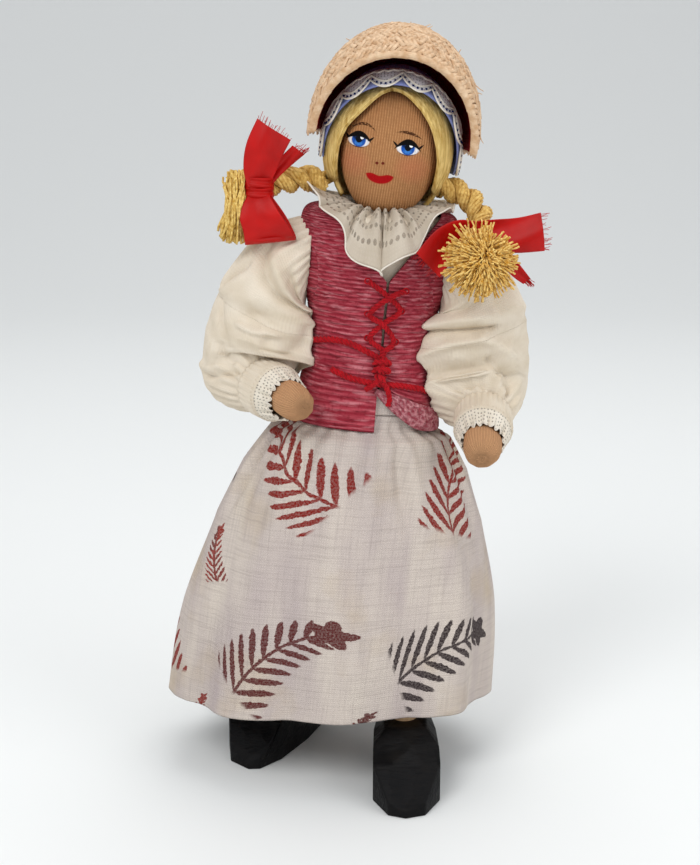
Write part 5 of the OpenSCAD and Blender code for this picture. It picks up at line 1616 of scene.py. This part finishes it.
class DOLL_OT_bonnet(bpy.types.Operator):
    """Plaits the straw bonnet in rows that follow its rim, binds the rim and lines the inside"""

    bl_idname = "doll.bonnet"
    bl_label = "Bonnet"

    def execute(self, context):
        rng = random.Random(5)
        rows = sizes().plait_rows
        bm = dome_cloth(bonnet_dome(1.3, -9.3), (180, 50), (170, 60))
        obj = clothed("bonnet_ground", bm, "straw_inner", ["bonnet"], 1.4)
        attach(obj, "head")
        top_raw, top_edge = bonnet_dome(0.45, -9.8)
        whole = bmesh.new()
        for row in range(2 * rows):
            band = bmesh.new()
            share = (row + 0.55) / (2 * rows)
            ring = [HEAD @ top_raw(a, top_edge(a) * share) for a in circle(240)]
            length = sum((b - a).length for a, b in zip(ring, ring[1:]))
            many = max(6, int(length / STRAW_STEP))
            lean = STRAW_LEAN if row % 2 else -STRAW_LEAN
            for k in range(many):
                a = TURN * (k + 0.5 * (row % 4 // 2) + rng.uniform(-0.12, 0.12)) / many
                tilt = top_edge(a)
                p = top_raw(a, tilt * share)
                ahead = (top_raw(a + 0.02, top_edge(a + 0.02) * share) - p).normalized()
                up = top_raw(a, tilt * share - 0.02) - p
                up = (up - up.dot(ahead) * ahead).normalized()
                out = ahead.cross(up)
                if out.dot(p - BONNET_MID) < 0:
                    out, up = -out, up
                turn = math.radians(lean + rng.uniform(-7, 7))
                long_way = math.cos(turn) * up + math.sin(turn) * ahead
                wide_way = out.cross(long_way)
                lie = Matrix((wide_way, out, long_way)).transposed().to_4x4()
                lie.translation = p + out * rng.uniform(-0.1, 0.25)
                size = Matrix.Diagonal((rng.uniform(0.85, 1.15), 0.42, 1.0, 1))
                lie = Matrix.Scale(MM, 4) @ HEAD @ lie @ size @ Matrix.Scale(1 / MM, 4)
                bmesh.ops.create_cone(band, cap_ends=True, segments=6, radius1=0.8 * MM, radius2=0.72 * MM,
                                      depth=rng.uniform(3.9, 5.2) * MM, matrix=lie)
            mesh = bpy.data.meshes.new("row")
            band.to_mesh(mesh)
            band.free()
            whole.from_mesh(mesh)
            bpy.data.meshes.remove(mesh)
        bmesh.ops.recalc_face_normals(whole, faces=whole.faces)
        obj = object_of("bonnet_plait", whole)
        dressed(obj, "straw")
        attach(obj, "head")
        loose = []
        for k in range(LOOSE_STRAWS):
            a, share = rng.uniform(0, TURN), rng.uniform(0.25, 0.97)
            p = top_raw(a, top_edge(a) * share)
            out = (p - BONNET_MID).normalized()
            drift = Vector((rng.uniform(-1, 1), rng.uniform(-1, 1), rng.uniform(-1, 1)))
            drift = (drift - drift.dot(out) * out).normalized()
            far = rng.uniform(2.0, 5.0)
            loose.append([HEAD @ (p + drift * far * f + out * (0.2 + 1.3 * f * f))
                          for f in (0, 0.33, 0.66, 1)])
        obj = threads("bonnet_loose_straws", loose, lambda k, s: 0.22 - 0.1 * s, "straw")
        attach(obj, "head")
        rim_raw, rim_edge = bonnet_dome(1.3, -10.8)

        def rim(u, v):
            a, b = TURN * u, TURN * (0.0 if v > RING_END else v)
            p, back, on = (rim_raw(at, rim_edge(at)) for at in (a, a - 0.01, a + 0.01))
            out = (p - BONNET_MID).normalized()
            ahead = (on - back).normalized()
            out = (out - out.dot(ahead) * ahead).normalized()
            along = ahead.cross(out)
            lap = 0.16 * (math.fmod(30 * u + (0.0 if v > RING_END else v), 1.0) - 0.5)
            return HEAD @ (p + (1.25 + lap) * math.cos(b) * out + (0.85 + lap) * math.sin(b) * along)

        bm = weave_grid(360, 14, rim, (180, 8), True)
        bmesh.ops.remove_doubles(bm, verts=bm.verts, dist=SAME_PLACE)
        bmesh.ops.recalc_face_normals(bm, faces=bm.faces)
        obj = clothed("bonnet_rim", bm, "straw", ["bonnet_binding"])
        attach(obj, "head")
        bm = dome_cloth(bonnet_dome(2.7, -9.6, 3.2), (150, 40), (160, 58))
        obj = clothed("bonnet_lining_sewn", bm, "lining", ["bonnet_lining"], 0.5)
        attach(obj, "head")
        return {"FINISHED"}


# The middles of the two braids, the knots that end them and the middle of the round tassel
BRAID_LEFT = [(-8.6, 9, 192), (-12.5, 9.5, 193), (-17, 8, 193.1), (-22, 5.2, 192.6), (-28.4, 3.0, 191.4)]
BRAID_RIGHT = [(27.4, 8.4, 190.6), (31.6, 8.8, 189.6), (37, 7.3, 186.6), (39.8, 3.5, 182.6),
               (40.4, -0.5, 178.2), (39.6, -2.6, 174.6)]
KNOT_LEFT = Vector((-29.3, 1.6, 190.8))
KNOT_RIGHT = Vector((39.1, -3.8, 172.8))
PUFF = Vector((38.4, -14.2, 169.8))


# Strands of the long tassel: those that hang, and those that the ribbon ties
CUT_STRANDS, TIED_STRANDS = 210, 40


class DOLL_OT_braids(bpy.types.Operator):
    """Twists the two braids of yarn and cuts their tassels"""

    bl_idname = "doll.braids"
    bl_label = "Braids and tassels"

    def execute(self, context):
        rng = random.Random(3)
        for word, route, size in (("left", BRAID_LEFT, 4.2), ("right", BRAID_RIGHT, 4.1)):
            yarns = []
            for strand in plies(route, 2, size * 0.5, 13, 60, 0.6):
                yarns += plies([list(p) for p in strand], 9, size * 0.38, 17, 90)
            thick = size * 0.17
            obj = threads(f"braid_{word}_twisted", yarns, lambda k, s: thick * (1.05 - 0.3 * s),
                          "braid", [f"braid_{word}"], 1)
            start, end = Vector(route[0]), Vector(route[-1])
            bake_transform(obj)
        strands = []
        for k in range(CUT_STRANDS):
            a, r = rng.uniform(0, TURN), math.sqrt(rng.random())
            c, s = r * math.cos(a), r * math.sin(a)
            x = -35.6 + 4.3 * s
            high = Vector((x + rng.uniform(-1.4, 1.4), 2.6 + 3.6 * c, 193.0 + rng.uniform(-2.8, 3.4)))
            mid = Vector((x + rng.uniform(-0.5, 0.5), 0.8 + 4.6 * c, 185.5))
            low = Vector((x - 1.2 + 0.8 * s + rng.uniform(-1.2, 1.2), 2.8 + 4.6 * c,
                          176.8 + rng.uniform(-3.2, 3.4)))
            strands.append([Vector(through([list(high), list(mid), list(low)], f))
                            + Vector((1.1 * ripple(k, f * 3, 1), 1.1 * ripple(k, f * 3, 2), 0))
                            for f in [i / 8 for i in range(9)]])
        for k in range(TIED_STRANDS):
            c, s = rng.uniform(-1, 1), rng.uniform(-1, 1)
            strands.append([KNOT_LEFT + Vector((-3.4 * f - 1.2 * f * f, 1.4 * c, 1.6 * s + 1.6 * f * s))
                            for f in (0, 0.5, 1, 1.5)])
        obj = threads("tassel_left_cut", strands, 0.42, "tuft", ["tassel_left"])
        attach(obj, "torso")
        strands = []
        root, reach = Vector((1.3, -2.6, 2.5)), 12.6
        for k in range(sizes().tassel_strands):
            a = rng.uniform(0, TURN)
            far = math.sqrt(rng.random())
            deep = (1.0, 0.88, 0.72)[k % 3]
            low = eased(0.1, -0.9, math.sin(a))
            edge = reach * between(1.0, 0.93, low) * rng.uniform(0.78, 1.05)
            face = -1 if k % 5 else 0.8
            tip = Vector((far * edge * math.cos(a), 0, far * edge * math.sin(a)))
            tip.y = face * deep * 0.86 * math.sqrt(max(0, reach ** 2 - tip.x ** 2 - tip.z ** 2)) + 0.6
            start = root if face < 0 else Vector((0, 0, 0))
            out = Vector((0, face * between(4.2, 1.4, far) * deep, 0))
            strands.append([PUFF + between(start, tip, f) + out * 4 * f * (1 - f) * 0.8
                            + Vector((2.4 * ripple(k, f * 1.6, 3), 0, 2.4 * ripple(k, f * 1.6, 9)))
                            * between(1.0, 1.5, low) * f for f in (0.02, 0.2, 0.4, 0.6, 0.8, 0.92, 1.0)])
        obj = threads("tassel_right_cut", strands, lambda k, s: 0.23 + 0.08 * s, "puff",
                      ["tassel_right"])
        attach(obj, "torso")
        return {"FINISHED"}


def ribbon_sheet(spine, halves, ways, wave, size):
    """A ribbon along a spine, by its half width and the way of its width at each of the spine's points.

    Gives its mesh and the rule that lays it."""
    def place(u, v):
        p = Vector(through([list(q) for q in spine], v))
        half = through([[h] for h in halves], v)[0]
        way = Vector(through([list(w) for w in ways], v)).normalized()
        s = 2 * u - 1
        return p + way * half * s + Vector((0, 1, 0)) * wave(s, v)
    return weave_grid(24, 60, place, size), place


# The ribbon's width and thickness, and the threads that fray from a cut end: how many, and their radius
SATIN_WIDE, SATIN_WALL, FRAY_THREADS, FRAY_R = 11, 0.25, 22, 0.08


class DOLL_OT_ribbons(bpy.types.Operator):
    """Ties the scarlet satin bows"""

    bl_idname = "doll.ribbons"
    bl_label = "Ribbons"

    def execute(self, context):
        rng = random.Random(8)
        parts, fray = [], []

        def strip(name, spine, halves, ways, wave, length, frayed=True):
            bm, place = ribbon_sheet(spine, halves, ways, wave, (SATIN_WIDE, length))
            parts.append(clothed(name, bm, "satin", (), SATIN_WALL))
            if frayed:
                for k in range(FRAY_THREADS):
                    u = rng.random()
                    p, q = place(u, 1.0), place(u, 0.97)
                    way = (p - q).normalized()
                    far = rng.uniform(0.6, 2.6)
                    off = Vector((rng.uniform(-1, 1), rng.uniform(-0.6, 0.6), rng.uniform(-1, 1)))
                    fray.append([p - way * 0.4, p + way * far * 0.5 + off * 0.2, p + way * far + off * 0.5])

        y = KNOT_LEFT.y - 1.5
        strip("tail_a", [(-29.4, y - 2.2, 191.5), (-28.9, y - 2.8, 196.5), (-27.4, y - 3.4, 202.5),
                         (-24.3, y - 2.4, 208.9)],
              [3.2, 5.0, 5.8, 6.0], [(1, 0, 0.0), (1, 0, -0.1), (0.95, 0, -0.35), (0.84, 0, -0.55)],
              lambda s, v: -1.3 * math.cos(2.6 * s + 0.6) * eased(0, 0.4, v) + 0.8 * math.sin(5 * v + s), 20)
        strip("tail_b", [(-28.2, y - 0.6, 191), (-24.5, y + 0.6, 195.5), (-20.5, y + 0.2, 199.4),
                         (-16.9, y - 0.6, 202.6)],
              [1.8, 2.0, 2.2, 2.4], [(0.8, 0.4, -0.6)] * 4, lambda s, v: 0.5 * math.cos(3 * s + 2 * v), 17)
        loop = [(-29.4, y - 1.6, 189.6), (-29.4, y - 4.2, 186.4), (-28.7, y - 5.6, 182.6),
                (-26.8, y - 5.4, 178.6), (-26.0, y - 4.0, 175.4), (-25.8, y - 2.0, 174.3),
                (-25.8, y - 0.4, 176.0), (-27, y + 0.2, 182), (-29, y + 0.3, 189.6)]
        strip("loop", loop, [3.0, 4.8, 6.3, 7.2, 7.8, 7.9, 7.6, 5.8, 2.6], [(1, 0, 0.1)] * 9,
              lambda s, v: (0.9 * math.cos(2.4 * s) + 0.5 * math.cos(7 * s + 1) * eased(0.45, 0.1, v))
              * math.sin(math.pi * v) ** 2 * (1 if v < 0.5 else -0.4), 34, False)
        for word, high, half in (("knot_a", 192.3, 1.75), ("knot_b", 189.4, 1.65)):
            ring = [(-29.5 + 4.7 * math.cos(a), 1.4 + 4.5 * math.sin(a), high + 0.25 * math.sin(a + high))
                    for a in circle(12)]
            strip(word, ring, [half] * 13, [(0.05, 0.0, 1)] * 13,
                  lambda s, v: 0.28 * math.cos(5 * s + 6 * v), 28, False)
        parts.append(threads("fray", fray, FRAY_R, "satin"))
        obj = joined("ribbon_left_tied", parts)
        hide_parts("ribbon_left")
        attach(obj, "torso")

        parts, fray = [], []
        y = -6.0
        strip("tail_c", [(36, y + 0.6, 176.2), (43, y - 0.4, 176.8), (51, y - 0.8, 177.0),
                         (58.5, y - 1.6, 178.1)],
              [4.9, 4.9, 5.3, 5.9], [(0, 0, -1), (0, 0, -1), (0.04, 0, -1), (0.127, 0, -0.99)],
              lambda s, v: 1.4 * math.cos(2.3 * s + 3.0 * v) * eased(0, 0.3, v), 23)
        strip("tail_d", [(40, y + 0.8, 175.6), (34, y - 0.6, 177), (28.5, y - 1.6, 174.4),
                         (23.1, y - 2.2, 167.9)],
              [4.8, 5.0, 5.4, 5.4], [(0, 0, 1), (-0.2, 0, 1), (-0.5, 0, 0.85), (-0.68, 0, 0.73)],
              lambda s, v: 1.3 * math.cos(2.4 * s + 1.5 * v) * eased(0, 0.3, v), 20)
        strip("tail_e", [(46, y + 1.4, 171), (49.5, y + 1.0, 167.2), (52.0, y + 0.8, 164.6),
                         (54.2, y + 0.6, 162.6)],
              [2.4, 2.2, 1.9, 1.4], [(0.8, 0.2, 0.6)] * 4, lambda s, v: 0.4 * math.cos(3 * s), 13)
        ring = [(KNOT_RIGHT.x + 4.2 * math.cos(a), KNOT_RIGHT.y - 1.5 + 3.6 * math.sin(a),
                 KNOT_RIGHT.z + 0.5 + 0.5 * math.sin(a)) for a in circle(10)]
        strip("knot_c", ring, [2.3] * 11, [(0.1, 0.2, 1)] * 11, lambda s, v: 0.25 * math.cos(5 * s), 26,
              False)
        parts.append(threads("fray", fray, FRAY_R, "satin"))
        obj = joined("ribbon_right_tied", parts)
        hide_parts("ribbon_right")
        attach(obj, "torso")
        return {"FINISHED"}


STEPS = (DOLL_OT_stage, DOLL_OT_wood, DOLL_OT_clogs, DOLL_OT_skirt, DOLL_OT_vest, DOLL_OT_blouse,
         DOLL_OT_collar, DOLL_OT_cords, DOLL_OT_sleeves, DOLL_OT_hands, DOLL_OT_face, DOLL_OT_hair,
         DOLL_OT_cap, DOLL_OT_bonnet, DOLL_OT_braids, DOLL_OT_ribbons)


class DOLL_PT_panel(bpy.types.Panel):
    """Lists the steps that dress the doll"""

    bl_label = "Costume doll"
    bl_idname = "DOLL_PT_panel"
    bl_space_type = "VIEW_3D"
    bl_region_type = "UI"
    bl_category = "Doll"

    def draw(self, context):
        for step in STEPS:
            self.layout.operator(step.bl_idname)
        for group in (context.scene.doll_sizes, context.scene.doll_colours):
            for name in group.bl_rna.properties.keys():
                if name not in ("rna_type", "name"):
                    self.layout.prop(group, name)


CLASSES = (DollSizes, DollColours) + STEPS + (DOLL_PT_panel,)


def register():
    for cls in CLASSES:
        bpy.utils.register_class(cls)
    bpy.types.Scene.doll_sizes = bpy.props.PointerProperty(type=DollSizes)
    bpy.types.Scene.doll_colours = bpy.props.PointerProperty(type=DollColours)


def unregister():
    del bpy.types.Scene.doll_colours
    del bpy.types.Scene.doll_sizes
    for cls in reversed(CLASSES):
        bpy.utils.unregister_class(cls)


def main():
    register()
    for step in STEPS:
        group, name = step.bl_idname.split(".")
        getattr(getattr(bpy.ops, group), name)()


if __name__ == "__main__":
    main()
